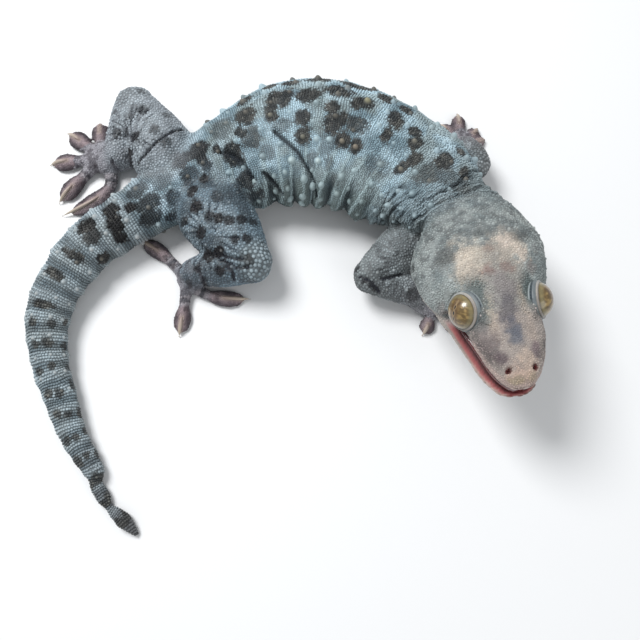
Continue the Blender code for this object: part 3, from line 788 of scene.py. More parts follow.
class Footward:
    """The nearest palm or toe: how far outside it points are, how far along the toe and how far aside."""

    def __init__(self, points):
        count = len(points)
        self.reach, self.along, self.side = np.full(count, FAR), np.zeros(count), np.full(count, NO_TOE)
        self.way, self.flat = np.zeros((count, 3)), np.zeros((count, 2))
        for limb in LIMBS.values():
            end, palm = np.array(limb["end"]), np.array((*limb["palm"], 2.0))
            wrist = np.array((end[0], end[1], 3.0))
            _, away = part_way(points, wrist, palm + (palm - wrist) * 0.6)
            flat = (points[:, :2] - palm[:2]) / (2.4 * FOOT_SPAN) + 0.5
            self.take(away - end[3] * 1.1, 0.0, NO_TOE, unit(palm - wrist), flat)
            for toe_row in limb["toes"]:
                rows = toe_rows(9)
                middles, _ = toe_path(limb["palm"], toe_row, rows[:, 0])
                middles[:, 2] = rows[:, 2] * limb["toe_size"] / 2
                for k in range(1, 8):
                    share, away = part_way(points, middles[k], middles[k + 1])
                    step = middles[k + 1] - middles[k]
                    side = np.abs((points - middles[k]) @ unit(np.array((-step[1], step[0], 0.0))))
                    along = rows[k, 0] + (rows[k + 1, 0] - rows[k, 0]) * share
                    self.take(away - rows[k, 1] * limb["toe_size"], along, side, unit(step), flat)

    def take(self, reach, along, side, way, flat):
        """Takes this stretch of toe or palm as the nearest for the points that it is nearer to."""
        better = reach < self.reach
        self.reach = np.where(better, reach, self.reach)
        self.along = np.where(better, along, self.along)
        self.side = np.where(better, side, self.side)
        self.way = np.where(better[:, None], way, self.way)
        self.flat = np.where(better[:, None], flat, self.flat)


# The sections of skull and snout in one run, and the head's two ends
SKULL_LINE = np.vstack((SKULL[:, :4], SNOUT[2:, :4]))
HEAD_BACK = -33
HEAD_FRONT = 24


def head_reach(local):
    """Distance outside the head's closed outline, for points in its own frame."""
    x = local[:, 0]
    half, top = (np.interp(x, SKULL_LINE[:, 0], SKULL_LINE[:, k]) for k in (1, 2))
    bottom = np.interp(x, SKULL[:, 0], SKULL[:, 3])
    middle = (top + bottom) / 2
    out = np.hypot(local[:, 1] / half, (local[:, 2] - middle) / (top - middle))
    return (out - 1) * half + np.maximum(0, HEAD_BACK - x) + np.maximum(0, x - HEAD_FRONT)


def soft_least(values, spread):
    """Shares that add up to 1, and go to the least of each row's values."""
    share = np.exp(-(values - values.min(axis=1, keepdims=True)) / spread)
    return share / share.sum(axis=1, keepdims=True)


class Places:
    """Where points are on the animal: their shares of the four regions, and their coordinates in each.

    region is 0 on the body, 1 on the head, 2 on a limb and 3 on a foot. flicker is a random number
    from -2 to 2 that varies each granule's colour, and 0 for all else.
    """

    def __init__(self, points):
        self.points = points
        self.flicker = np.zeros(len(points))
        self.length, self.angle, out, rows = spine_place(points)
        self.radius = (rows[:, 3] + rows[:, 4]) / 2
        first = spine_rows(np.zeros(1))[0, :3]
        _, forward, _, _ = spine_frame(np.zeros(1))
        ahead = np.maximum(0, (points - first) @ forward[0]) * (self.length < 1)
        self.local = into_head(points)
        limb, foot = Limbward(points), Footward(points)
        self.limb_number, self.limb_way = limb.number, limb.way
        self.limb_share, self.limb_turn = limb.share, limb.turn
        self.toe, self.toe_side, self.toe_way, self.foot_flat = foot.along, foot.side, foot.way, foot.flat
        trunk = (out - 1) * rows[:, 3] + ahead
        reach = np.column_stack((trunk, head_reach(self.local), limb.reach, foot.reach))
        share = soft_least(reach, SHAPE_BLEND)
        self.body, self.head, self.limb, self.foot = share.T
        self.region = share.argmax(axis=1)
        self.mixed = 1 - share.max(axis=1)
        self.wide = soft_least(reach, COLOUR_BLEND)


# Dark spots as the photo shows them: length from the nape, degrees round the body, half length,
# half width and strength
SPOTS = (
    (75, 50, 2.8, 2.8, 1), (68, 58, 2.5, 2.5, 1), (63, 55, 2.8, 2.8, 1), (56.5, 57, 4, 2.5, 1),
    (47, 57, 6, 2.5, 1), (40, 50, 2.5, 2.5, 1), (33.5, 48, 2.5, 2.5, 1), (51.5, 36, 4.5, 3.5, 1),
    (59, 28, 3.6, 3.6, 1), (66.5, 30, 4.5, 4.5, 1), (69, 20, 2.5, 2.5, 1), (76.5, 24, 3.8, 3.8, 1),
    (44.5, 28, 3.8, 3, 1), (34.5, 27, 3.8, 3.5, 1), (28.3, 25, 2.2, 2.2, 1), (26.5, 14, 2.4, 2.4, 1),
    (60.5, 4, 3.4, 2.6, 1), (52, 15, 2.6, 2.6, 1), (51, 0, 3.4, 4, 1), (48.5, 7, 1.7, 2.6, 1),
    (44, 5, 3.8, 3.2, 0.9), (34.5, 8, 2, 3.4, 1), (69.5, 10, 2.6, 2.6, 1), (66.5, 0, 4, 2.4, 0.6),
    (77, -2, 3.4, 3.4, 0.8), (79.3, 6, 1.8, 1.8, 1), (60.5, -12, 3.2, 3.2, 1), (46.8, -12, 3, 3, 1),
    (41.7, -13, 2.6, 2.6, 1), (23.5, 0, 2.6, 2.6, 1), (25, -13, 2.6, 2.6, 1), (51.5, -17, 3.2, 4, 0.5),
    (57, -34, 2.6, 3, 0.6), (73.5, -20, 3, 3, 0.5), (49.5, -33, 2.4, 2.4, 0.6), (46, -50, 2.5, 2.5, 0.4),
    (16.5, -4, 4, 5, 0.7), (17.5, 18, 3, 3, 1), (17, 45, 2.4, 2.4, 1), (11, 30, 2.4, 2.4, 1),
    (12.5, 8, 3, 3, 0.6), (8.5, 15, 3, 3, 0.6), (32.5, -22, 5, 3.5, 0.45), (88, -55, 3, 3, 1),
    (81.5, -66, 3, 3, 1), (80, 10, 2, 2, 1), (84, -12, 3.4, 4, 1), (84.5, 25, 4, 4, 0.6),
    (88.5, 3, 1.4, 1.4, 1), (93.5, 15, 3.6, 3.2, 1), (93.5, -5, 2.2, 3.6, 1), (100, 14, 3.4, 2.6, 1),
    (99.5, -16, 3.4, 3.4, 1), (95.5, -34, 2.6, 2.6, 1), (83, -45, 3, 3, 1), (107.5, 5, 3.4, 3.4, 0.55),
    (111, 28, 2.6, 2.6, 0.5), (116, 20, 4, 2.8, 0.8), (120.7, -3, 2, 2, 1), (115, -18, 4.2, 3.4, 0.9),
    (117, -42, 3.6, 2.8, 0.9), (108, -32, 2.8, 2.8, 1), (100, -52, 5, 5, 0.8), (111.5, -62, 1.8, 1.8, 1),
    (126.5, 15, 3, 3, 1), (127.5, -15, 3, 4.4, 1), (128.5, -50, 2.4, 2.4, 1), (135.5, 18, 3.4, 3, 1),
    (136, -8, 3.4, 3, 0.9), (138.5, -70, 3, 3, 1), (144.5, -10, 1.8, 4.8, 1), (152.5, 0, 1.8, 4.0, 1),
    (162.5, 0, 1.8, 4.8, 1),
)
# Tail whorls: where the first lies, how far to the next and how that distance shrinks
WHORL_START = 112.0
WHORL_STEP = 8.0
WHORL_SHRINK = 0.97


def more_spots():
    """Spots where the photo shows none: on the far flank and along the thin part of the tail."""
    draw = np.random.default_rng(SEED + 1)
    rows = []
    for length in np.arange(6, 118, 8.2):
        for angle in (74, 96, 118, -112):
            size = draw.uniform(2.0, 3.2)
            rows.append((length + draw.uniform(-2.5, 2.5), angle + draw.uniform(-6, 6), size, size, 0.8))
    for length in np.arange(168, BODY_LENGTH, 7.5):
        for angle in (-25, 25, 85, -85):
            size = draw.uniform(1.3, 2.1)
            rows.append((length + draw.uniform(-1, 1), angle + draw.uniform(-9, 9), size * 1.1, size, 0.9))
    return rows


ALL_SPOTS = np.array(list(SPOTS) + more_spots(), float)


def mean_radius(lengths):
    """The mean of the body's half width and rise."""
    rows = spine_rows(lengths)
    return (rows[:, 3] + rows[:, 4]) / 2


def spottedness(at):
    """How dark the spots make each place, from 0 to 1, with uneven edges."""
    ragged = (rough_noise(at.points, 2.2, 3) - 0.5) * 0.8 + at.flicker * 0.1
    dark = np.zeros(len(at.points))
    # Spots on the hips and the tail's root are drawn a little larger than the others
    for row, radius in zip(ALL_SPOTS, mean_radius(ALL_SPOTS[:, 0])):
        along = (at.length - row[0]) / row[2]
        around = (at.angle - math.radians(row[1])) * radius / row[3]
        spread = 0.94 if 80 < row[0] < 150 else 1.06
        dark = np.maximum(dark, ease(1.12, 0.72, np.hypot(along, around) * spread + ragged) * row[4])
    return dark


def whorls():
    """The lengths where the tail's whorls lie."""
    places, step = [WHORL_START], WHORL_STEP
    while places[-1] < BODY_LENGTH - 8:
        places.append(places[-1] + step)
        step *= WHORL_SHRINK
    return np.array(places)


WHORLS = whorls()


def whorl_wave(lengths):
    """1 in the middle of each tail whorl and 0 in the fold between two."""
    place = np.interp(lengths, WHORLS, np.arange(len(WHORLS)))
    return 0.5 - 0.5 * np.cos(2 * math.pi * place)


# How far apart along the body the right flank's folds lie, where the back bends to that side, the thin
# ridges above them and the wrinkles of the neck
PLEAT_STEP = 9.5
RIDGE_STEP = 5.5
WRINKLE_STEP = 3.9
# How many folds would spread from a knee in a whole turn
FOLD_RAYS = 27
# The flank's deep slanting creases: places by length and degrees, and the radius that these are taken at
CREASE_RADIUS = 16.5
CREASES = (
    ((69.5, -5), (65.5, -20), (63, -28), (60, -42), (54.5, -62), (52.5, -78)),
    ((87.5, -2), (84, -12), (81.8, -26), (80.6, -42)),
    ((77, -38), (75.4, -50), (73, -66)),
)


def pleat(at):
    """1 on a fold's crest and 0 in its valley."""
    sway = (noise(at.points, 9, 21) - 0.5) * 1.6
    return np.abs(np.sin(math.pi * (at.length + sway) / PLEAT_STEP))


def flank(at):
    """1 on the folded flank."""
    degrees = np.degrees(at.angle)
    low = ease(-34, -62, degrees) * ease(-160, -125, degrees)
    return low * ease(22, 32, at.length) * ease(108, 96, at.length)


def fine_ridge(at):
    """1 on the thin pale ridges above the folds."""
    degrees = np.degrees(at.angle)
    sway = (noise(at.points, 7, 22) - 0.5) * 1.8
    off = np.abs((at.length + sway + 0.06 * degrees) / RIDGE_STEP % 1 - 0.5) * RIDGE_STEP
    zone = ease(-12, -30, degrees) * ease(-108, -84, degrees)
    return ease(1.1, 0.2, off) * zone * ease(24, 32, at.length) * ease(106, 96, at.length)


def line_depth(flat, line, outer, inner):
    """1 within inner of a line of corners and 0 beyond outer, for places on the flat."""
    deep = np.zeros(len(flat))
    corners = [np.array((*corner, 0.0)) for corner in line]
    for start, end in zip(corners[:-1], corners[1:]):
        _, away = part_way(flat, start, end)
        deep = np.maximum(deep, ease(outer, inner, away))
    return deep


def crease(at):
    """1 in the flank's deep slanting creases."""
    flat = np.column_stack((at.length, at.angle * at.radius, np.zeros(len(at.points))))
    lines = ([(length, math.radians(turn) * CREASE_RADIUS) for length, turn in line] for line in CREASES)
    return np.max([line_depth(flat, line, 1.3, 0.25) for line in lines], axis=0)


def wrinkle(at):
    """1 in the wavy folds that cross the neck and shoulders: deep ones with a shallow one between."""
    degrees = np.degrees(at.angle)
    sway = (noise(at.points, 8, 26) - 0.5) * 4.4 + (noise(at.points, 2.4, 27) - 0.5) * 1.3
    place = (at.length + sway - 0.018 * np.abs(degrees)) / WRINKLE_STEP
    deep = ease(0.27, 0.04, np.abs(place % 1 - 0.5))
    shallow = ease(0.16, 0.03, np.abs((place + 0.5) % 1 - 0.5)) * 0.55
    low = ease(30, 20, at.length) * ease(-150, -120, degrees) * ease(-14, -38, degrees)
    nape = ease(13.5, 9, at.length) * ease(120, 80, np.abs(degrees))
    broken = ease(0.28, 0.44, noise(at.points, 4.5, 28))
    return np.maximum(deep, shallow) * np.maximum(low, nape) * broken


def relief(at):
    """How far the skin rises or sinks from its plain form, in millimetres."""
    folds = (pleat(at) - 0.62) * 2.1 * flank(at)
    folds += fine_ridge(at) * 0.42 - crease(at) * 1.3 - wrinkle(at) * 1.05
    folds += (whorl_wave(at.length) - 0.6) * 0.3 * ease(112, 124, at.length)
    folds += (noise(at.points, 5, 23) - 0.5) * 0.8 * ease(190, 150, at.length)
    loose = (rough_noise(at.points, 4, 24) - 0.5) * 0.8 - knee_fold(at) * 0.55 - limb_crease(at) * 0.7
    bony = (rough_noise(at.points, 3, 25) - 0.5) * 0.3
    return at.body * folds + at.limb * loose + (at.head + at.foot) * bony


def bent(limb):
    """The middle of a bent elbow or knee, the way into the bend, and its radius."""
    root, bend, end = (np.array(limb[key][:3]) for key in ("root", "bend", "end"))
    return bend, unit(unit(root - bend) + unit(end - bend)), limb["bend"][3]


def knee_insides():
    """The place inside each bent elbow and knee from which its folds spread."""
    for limb in LIMBS.values():
        bend, inward, radius = bent(limb)
        yield bend + inward * radius * 1.9


def knee_zone(at):
    """1 where folds spread from the inside of each bent elbow and knee."""
    reaches = [np.linalg.norm((at.points - inside)[:, :2], axis=1) for inside in knee_insides()]
    reach = np.min(reaches, axis=0)
    return ease(1.5, 3.0, reach) * ease(13, 8, reach)


def knee_fold(at):
    """1 in the folds that spread from the inside of each bent elbow and knee."""
    deep = np.zeros(len(at.points))
    for inside in knee_insides():
        away = (at.points - inside)[:, :2]
        reach = np.linalg.norm(away, axis=1)
        turn = np.arctan2(away[:, 1], away[:, 0]) + (noise(at.points, 6, 29) - 0.5) * 0.3
        ray = np.abs(turn * FOLD_RAYS / (2 * math.pi) % 1 - 0.5) * 2
        deep = np.maximum(deep, ease(0.5, 0.1, ray) * ease(1.5, 3.0, reach) * ease(13, 8, reach))
    return deep * ease(0.3, 0.5, noise(at.points, 4, 30)) * np.array(LIMB_FOLDS)[at.limb_number]


def eye_axes(side):
    """The eye's centre, and the ways out, up and across it, in the head's frame."""
    out = unit(EYE_AXIS * (1, side, 1))
    up = unit(np.array((0.0, 0.0, 1.0)) - out * out[2])
    return EYE_AT * (1, side, 1), out, up, np.cross(up, out)


def round_eye(away, side):
    """The way round the eye that places lie, from its top towards the snout."""
    _, _, up, across = eye_axes(side)
    return np.arctan2(-side * (away @ across), away @ up)


def lid_width(away, side):
    """How wide the lid is, as an angle, where places lie round the eye."""
    wide = 0.5 + 0.5 * np.cos(round_eye(away, side) - LID_FRONT)
    return LID_WIDTH[0] + (LID_WIDTH[1] - LID_WIDTH[0]) * wide


def eye_socket(local):
    """Hollows the head out behind each eyeball and swells it round the eye's edge."""
    for side in SIDES:
        centre, out, _, _ = eye_axes(side)
        away = local - centre
        high = away @ out
        aside = np.linalg.norm(away - high[:, None] * out, axis=1)
        # Lower what stands past a slope from the lid's foot, by less below the eye than above it
        lid_foot = EYE_RADIUS * np.cos(EYE_EDGE + lid_width(away, side))
        depth = 0.5 + 2.5 * ease(-4.2, -1.6, away[:, 2])
        drop = np.clip(high - lid_foot - (aside - EYE_RADIUS), 0, depth) * ease(9.5, 6.8, aside)
        away = away - (drop * (high > -3) * (aside > 4.4))[:, None] * out
        reach = np.linalg.norm(away, axis=1)
        polar = np.arccos(np.clip(away @ out / reach, -1, 1))
        near = reach < EYE_RADIUS + 4
        # Swell the skin round the edge of the opening
        swell = EYE_RADIUS + np.interp(polar - EYE_EDGE, (0.0, 0.12, 0.45, 0.9), (0.0, 0.1, 0.3, -1.5))
        rim = near & (polar >= EYE_EDGE) & (polar < EYE_EDGE + 0.9)
        grown = np.where(rim, np.maximum(reach, swell), reach)
        # Press it down where the lid lies on it
        share = (polar - EYE_EDGE) / lid_width(away, side)
        pressed = EYE_RADIUS + np.interp(share, (0.8, 1.0, 1.4), (0.05, 0.2, 2.5))
        pressed = np.maximum(np.minimum(grown, pressed), reach - 0.4 - 0.6 * depth)
        grown = np.where(near & (polar >= EYE_EDGE) & (share < 1.4), pressed, grown)
        moved = centre + away * (grown / reach)[:, None]
        # Turn what is left in the opening into a cup behind the eyeball
        inside = near & (polar < EYE_EDGE)
        turned = math.pi - polar * (math.pi - EYE_EDGE) / EYE_EDGE
        flat = away - (away @ out)[:, None] * out
        flat = flat / np.maximum(1e-6, np.linalg.norm(flat, axis=1, keepdims=True))
        cup = centre + (np.cos(turned)[:, None] * out + np.sin(turned)[:, None] * flat) * (EYE_RADIUS + 0.2)
        local = np.where(inside[:, None], cup, moved)
    return local


def eye_front(local):
    """1 on the small ledge that the hollow leaves in front of each eye, to be smoothed."""
    share = np.zeros(len(local))
    for side in SIDES:
        away = local - eye_axes(side)[0]
        reach = np.linalg.norm(away, axis=1) - EYE_RADIUS
        ahead = ease(0.5, 2.5, away[:, 0]) * ease(1.2, 0.0, away[:, 2]) * ease(-4.6, -3.6, away[:, 2])
        share = np.maximum(share, ahead * ease(0.3, 1.2, reach) * ease(6.0, 4.0, reach))
    return share


# The ears: place along the head and height, half sizes along and up, and how far aside they start
EAR_X = -18.0
EAR_HEIGHT = -3.6
EAR_SIZE = (1.5, 2.7)
EAR_SIDE = 9
# The nostrils: place along and across, radius, and the least height they are found at
NOSTRIL_AT = (20.4, 3.6)
NOSTRIL_RADIUS = 0.85
NOSTRIL_LOW = -3.5
# The share given to places that are on no ear or nostril
NO_HOLE = 9.0


def ear_share(local):
    """0 in the middle of an ear's opening and 1 at its edge."""
    tall = (local[:, 2] - EAR_HEIGHT - (local[:, 0] - EAR_X) * 0.35) / EAR_SIZE[1]
    across = (local[:, 0] - EAR_X) / EAR_SIZE[0]
    return np.where(np.abs(local[:, 1]) > EAR_SIDE, np.hypot(tall, across), NO_HOLE)


def nostril_share(local):
    """0 in the middle of a nostril and 1 at its edge."""
    far = np.hypot(local[:, 0] - NOSTRIL_AT[0], np.abs(local[:, 1]) - NOSTRIL_AT[1])
    return np.where(local[:, 2] > NOSTRIL_LOW, far / NOSTRIL_RADIUS, NO_HOLE)


def open_holes(local):
    """Swells the right jowl, draws the left one in, and sinks the ears and nostrils."""
    local = local.copy()
    side = np.sign(local[:, 1])
    jowl = ease(-31, -20, local[:, 0]) * ease(-1, -9, local[:, 0]) * ease(4, 16, np.abs(local[:, 1]))
    local[:, 1] -= jowl * np.where(side < 0, 1.5, 0.7)
    ear = ear_share(local)
    local[:, 1] -= side * ease(1.1, 0.4, ear) * 2.6
    local[:, 1] += side * ease(1.0, 1.35, ear) * ease(2.2, 1.4, ear) * 0.35
    nostril = nostril_share(local)
    local[:, 2] -= ease(1.1, 0.2, nostril) * 1.5
    local[:, 1] -= side * ease(1.1, 0.2, nostril) * 0.5
    local[:, 2] += ease(1.0, 1.4, nostril) * ease(2.4, 1.6, nostril) * 0.22
    return local


def shaped_skin():
    """The skin's mesh in plan millimetres, and where each of its points is."""
    mesh = raw_skin()
    edges = edge_array(mesh)
    points = vertex_array(mesh)
    at = Places(points)
    points = melt(points, edges, ease(0.08, 0.4, at.mixed), 24)
    points = relax(points, edges, 0.7, 6)
    set_points(mesh, points)
    points = points + normal_array(mesh) * relief(at)[:, None]
    headward = at.head > 0.5
    local = into_head(points[headward])
    points[headward] = from_head(open_holes(eye_socket(local)))
    points = melt(points, edges, eye_front(into_head(points)) * headward * 0.7, 12)
    points[:, 2] = np.maximum(points[:, 2], SKIN_LOW)
    set_points(mesh, points)
    smooth(mesh)
    return mesh, Places(points)


# Colours of the body, its folds, tail and spots, with painted shade in the folds, wrinkles and creases
BODY_SLATE = tint(117, 139, 149)
BODY_PALE = tint(174, 198, 209)
BODY_SAGE = tint(140, 150, 148)
HIP_PALE = tint(180, 199, 210)
FLANK_GREY = tint(112, 124, 124)
BELLY_GREY = tint(166, 172, 168)
FOLD_VALLEY_SHADE = tint(42, 52, 54)
FOLD_CREST = tint(106, 119, 118)
RIDGE_PALE = tint(164, 184, 188)
WHORL_FOLD = tint(84, 90, 94)
WHORL_CREST = tint(148, 157, 161)
TAIL_TIP = tint(84, 78, 78)
NAPE_GREY = tint(110, 122, 126)
SPOT_DARK = tint(38, 39, 39)
SPOT_BROWN = tint(82, 81, 77)
HIP_BLACK = tint(3, 4, 6)
HIP_SOOT = tint(28, 29, 32)
SPOT_FLECK = tint(118, 118, 112)
THIGH_CREASE_SHADE = tint(20, 23, 29)
WRINKLE_SHADE = tint(34, 43, 50)
CREASE_SHADE = tint(24, 31, 38)


def body_paint(at):
    """Blue-grey with dark spots and a ringed tail, and painted shade in the right flank's folds and in
    wrinkles and creases.
    """
    degrees = np.degrees(at.angle)
    blotchy = rough_noise(at.points, 5, 31)
    colour = mix(BODY_SLATE, BODY_PALE, ease(0.3, 0.7, blotchy))
    greyer = ease(0.45, 0.62, rough_noise(at.points, 8, 34))
    colour = mix(colour, BODY_SAGE, greyer * 0.55)
    hips = ease(80, 94, at.length) * ease(150, 135, at.length)
    colour = mix(colour, HIP_PALE, ease(0.4, 0.65, blotchy) * hips * 0.6)
    colour = mix(colour, FLANK_GREY, ease(-64, -108, degrees) * 0.75)
    colour = mix(colour, BELLY_GREY, ease(118, 150, np.abs(degrees)))
    # The right flank's folds: painted shade in their valleys
    folded = mix(FOLD_VALLEY_SHADE, FOLD_CREST, ease(0.15, 0.95, pleat(at)))
    colour = mix(colour, folded, flank(at) * 0.9)
    colour = mix(colour, RIDGE_PALE, fine_ridge(at) * 0.7)
    tail = ease(110, 126, at.length)
    grey = mix(WHORL_FOLD, WHORL_CREST, ease(0.1, 0.75, whorl_wave(at.length)))
    colour = mix(colour, grey, tail * 0.7)
    colour = mix(colour, TAIL_TIP, ease(196, 240, at.length) * 0.6)
    colour = mix(colour, NAPE_GREY, ease(26, 6, at.length) * 0.6)
    dark = spottedness(at) * ease(160, 120, np.abs(degrees))
    uneven = rough_noise(at.points, 1.4, 32)
    inner = mix(SPOT_DARK, SPOT_BROWN, ease(0.35, 0.75, uneven))
    black = mix(HIP_BLACK, HIP_SOOT, ease(0.35, 0.8, uneven))
    inner = mix(inner, black, ease(74, 90, at.length) * ease(150, 125, at.length))
    inner = mix(inner, SPOT_FLECK, ease(1.2, 1.7, at.flicker) * (0.6 - 0.3 * hips))
    colour = mix(colour, inner, dark * (0.95 + 0.045 * hips))
    # Painted shade in the creases by the limbs, the neck's wrinkles and the flank's slanting creases
    colour = mix(colour, THIGH_CREASE_SHADE, limb_crease(at) * 0.9)
    colour = mix(colour, WRINKLE_SHADE, wrinkle(at) * 0.88)
    return mix(colour, CREASE_SHADE, crease(at) * 0.92)


# Each limb's ground colour, in the order of LIMBS
LIMB_TINTS = ((134, 141, 143), (134, 136, 138), (112, 131, 143), (148, 156, 163))
# How black each limb's loose blotches are, how large and pale its knee's scales, how deep its folds and their
# painted shade
LIMB_BLOTCHES = (0.4, 0.5, 0.5, 0.25)
LIMB_KNOBS = (0.25, 0.5, 1.0, 0.4)
LIMB_FOLDS = (0.45, 0.4, 1.0, 1.0)
# Dark spots as the photo shows them on the limbs: x, y, radius and strength
LIMB_SPOTS = (
    (-56.8, 64.8, 1.7, 0.6), (-58.5, 73, 1.5, 0.5), (-49.5, 64, 1.5, 0.4), (-59, 56, 1.7, 0.9),
    (-62, 52, 1.8, 1), (-52.5, 57.5, 1.9, 0.55), (-66.5, 59.5, 1.7, 0.65), (-62.5, 59, 1.1, 0.6),
    (-63, 75, 0.9, 0.8), (-67.3, 66.5, 1.1, 0.45), (-50.5, 69.5, 1.1, 0.45), (-61, 63, 1.3, 0.5),
    (-48.5, 53, 1.9, 0.8), (-75.5, 52, 0.9, 0.8), (-73, 46.5, 1.3, 0.9), (-77.5, 46, 1, 0.9),
    (-79, 43, 1, 0.7), (-69.5, 46, 1.1, 0.6), (-66, 42, 1.7, 0.9), (-73.5, 36.5, 1.2, 0.8),
    (-38.5, 31.5, 2.2, 1), (-40, 37, 2.2, 1), (-36.5, 41, 1.8, 0.9), (-42.5, 28, 1.5, 0.9),
    (-36.8, 23.8, 1.9, 0.95), (-34, 28, 1.7, 0.85), (-31, 27.3, 1.8, 0.95), (-28, 27, 1.8, 0.85),
    (-24, 27.5, 1.7, 0.85), (-20.8, 27.8, 1.4, 0.75), (-31.5, 34.5, 2.2, 0.65), (-28, 35, 1.6, 0.5),
    (-26, 21, 1.6, 0.85), (-22.5, 21.6, 1.6, 0.85), (-22, 15.3, 1.9, 0.9), (-34.8, 17.3, 2.4, 1),
    (-31.5, 18, 2, 1), (-31, 12.6, 2, 0.95), (-38.5, 14, 1.7, 0.85), (-36.5, 10.5, 1.2, 0.75),
    (-42, 10.5, 1.1, 0.75), (-38, 6.6, 1, 0.5), (-33.5, 7.3, 1.1, 0.6), (-45, 16, 1.1, 0.9),
    (-51.2, 20.3, 1.3, 0.9), (-48.3, 17.5, 1.2, 0.8), (-43.5, 2.8, 1.1, 0.8), (-31, 3.3, 1.1, 0.8),
    (11.5, 13.8, 1.1, 0.8), (14, 9.7, 1.1, 0.85), (16, 8.4, 1.2, 0.85), (17.5, 7.2, 1, 0.85),
    (19, 12.8, 0.7, 0.7), (24, 18, 0.8, 0.6), (19.5, 16.5, 1, 0.4), (29, 6, 2.2, 0.55),
)
# Creases as the photo shows them on the limbs and beside the left thigh, sunk and painted with shade: depth,
# half width, places
LIMB_CREASES = (
    (1, 0.85, (-44.5, 59.5), (-48, 56.5), (-51, 53.5), (-55, 50), (-58.3, 48)),
    (1, 0.85, (-69, 52), (-66.5, 49.5), (-64, 48)), (0.8, 0.8, (-64, 58.5), (-61.5, 57.5), (-59.5, 55)),
    (1, 0.85, (-30.5, 15.5), (-26, 13), (-22, 13.2)), (1, 0.85, (-30.5, 17), (-26.5, 15.6), (-24, 15.4)),
    (1, 0.85, (-29, 14), (-27.5, 12.4), (-26.8, 10.6)), (1, 0.85, (-39, 13.5), (-37.6, 11.6), (-36.6, 9.8)),
    (1, 0.85, (19, 10.2), (22, 10.7), (25.5, 12)), (1, 0.85, (13, 11.2), (15, 9.2), (18.5, 7)),
    (0.5, 0.7, (-61.6, 56), (-62.6, 60), (-63.2, 64)), (0.55, 0.7, (-60.4, 56), (-60.6, 61), (-60, 68)),
    (0.5, 0.65, (-59, 56), (-58.2, 61), (-56.6, 67)), (0.45, 0.65, (-57.6, 56), (-55.2, 60.5)),
)


def limb_crease(at):
    """1 in the limbs' own creases, for places that face up."""
    flat = at.points * (1, 1, 0) + ((noise(at.points, 3, 45) - 0.5) * 0.8)[:, None] * (1, 1, 0)
    deep = [line_depth(flat, line, reach, reach * 0.35) * depth for depth, reach, *line in LIMB_CREASES]
    return np.max(deep, axis=0) * ease(3, 6, at.points[:, 2])


def limb_spots(at):
    """How dark the limbs' spots make each place, with uneven edges."""
    ragged = (rough_noise(at.points, 2.0, 46) - 0.5) * 0.7 + at.flicker * 0.1
    dark = np.zeros(len(at.points))
    for x, y, radius, strength in LIMB_SPOTS:
        away = np.hypot(at.points[:, 0] - x, at.points[:, 1] - y) / radius
        dark = np.maximum(dark, ease(1.15, 0.75, away + ragged) * strength**0.6)
    return dark


def knee_share(at):
    """1 on the outside of each bent elbow and knee, where the scales are large and pale."""
    share = np.zeros(len(at.points))
    for limb in LIMBS.values():
        bend, inward, radius = bent(limb)
        outside = bend - inward * radius * 0.5 + (0, 0, radius * 0.5)
        away = np.linalg.norm(at.points - outside, axis=1)
        share = np.maximum(share, ease(radius * 1.3, radius * 0.6, away))
    return share * np.array(LIMB_KNOBS)[at.limb_number]


# Colours of the limbs, with painted light between the knees' folds and painted shade in folds and creases
KNEE_RAY_LIGHT = tint(172, 184, 190)
LIMB_BLACK = tint(8, 8, 12)
LIMB_SOOT = tint(40, 36, 38)
KNEE_PALE = tint(158, 168, 170)
LIMB_FLECK = tint(150, 160, 164)
LIMB_FOLD_SHADE = tint(30, 33, 42)
LIMB_UNDER = tint(150, 150, 148)


def limb_paint(at):
    """Each limb's own grey, with dark spots and blotches and pale knees, and painted light and shade at its
    folds.
    """
    ground = np.array([tint(*row) for row in LIMB_TINTS])[at.limb_number]
    ground = ground * (0.76 + 0.5 * rough_noise(at.points, 3, 42))[:, None]
    fold = knee_fold(at)
    # Painted light on the ridges between the folds round each knee
    ground = mix(ground, KNEE_RAY_LIGHT, ease(0.3, 0.0, fold) * knee_zone(at) * 0.3)
    lumps = 0.6 * noise(at.points, 3.0, 41) + 0.4 * noise(at.points, 6.5, 43)
    blotch = ease(0.49, 0.56, lumps + at.flicker * 0.01)
    blotch = blotch * np.array(LIMB_BLOTCHES)[at.limb_number]
    blotch = np.maximum(blotch, limb_spots(at) * 0.99)
    dark = mix(LIMB_BLACK, LIMB_SOOT, ease(0.4, 0.8, rough_noise(at.points, 1.4, 47)))
    colour = mix(ground, dark, blotch)
    colour = mix(colour, KNEE_PALE, knee_share(at) * 0.5 * (1 - 0.75 * blotch))
    pale = ease(0.9, 1.5, at.flicker)
    colour = mix(colour, LIMB_FLECK, pale * 0.2)
    # Painted shade in the knees' folds and the limbs' creases
    colour = mix(colour, LIMB_FOLD_SHADE, np.maximum(fold * 0.75, limb_crease(at) * 0.95))
    return mix(colour, LIMB_UNDER, ease(5.0, 1.5, at.points[:, 2]) * 0.4)


# Colours of the feet, with a painted highlight on the pads' tops and painted shade at their rims
FOOT_GREY = tint(148, 146, 153)
FOOT_DARK = tint(62, 56, 64)
TOE_JOINT = tint(46, 40, 48)
TOE_BETWEEN = tint(156, 149, 154)
PAD_PINK = tint(128, 113, 117)
PAD_BROWN = tint(78, 64, 70)
PAD_RIM_AND_SHADE = tint(50, 41, 48)
PAD_HIGHLIGHT = tint(170, 152, 156)
FOOT_SPOT = tint(44, 36, 42)
PAD_RIDGE = tint(172, 156, 144)


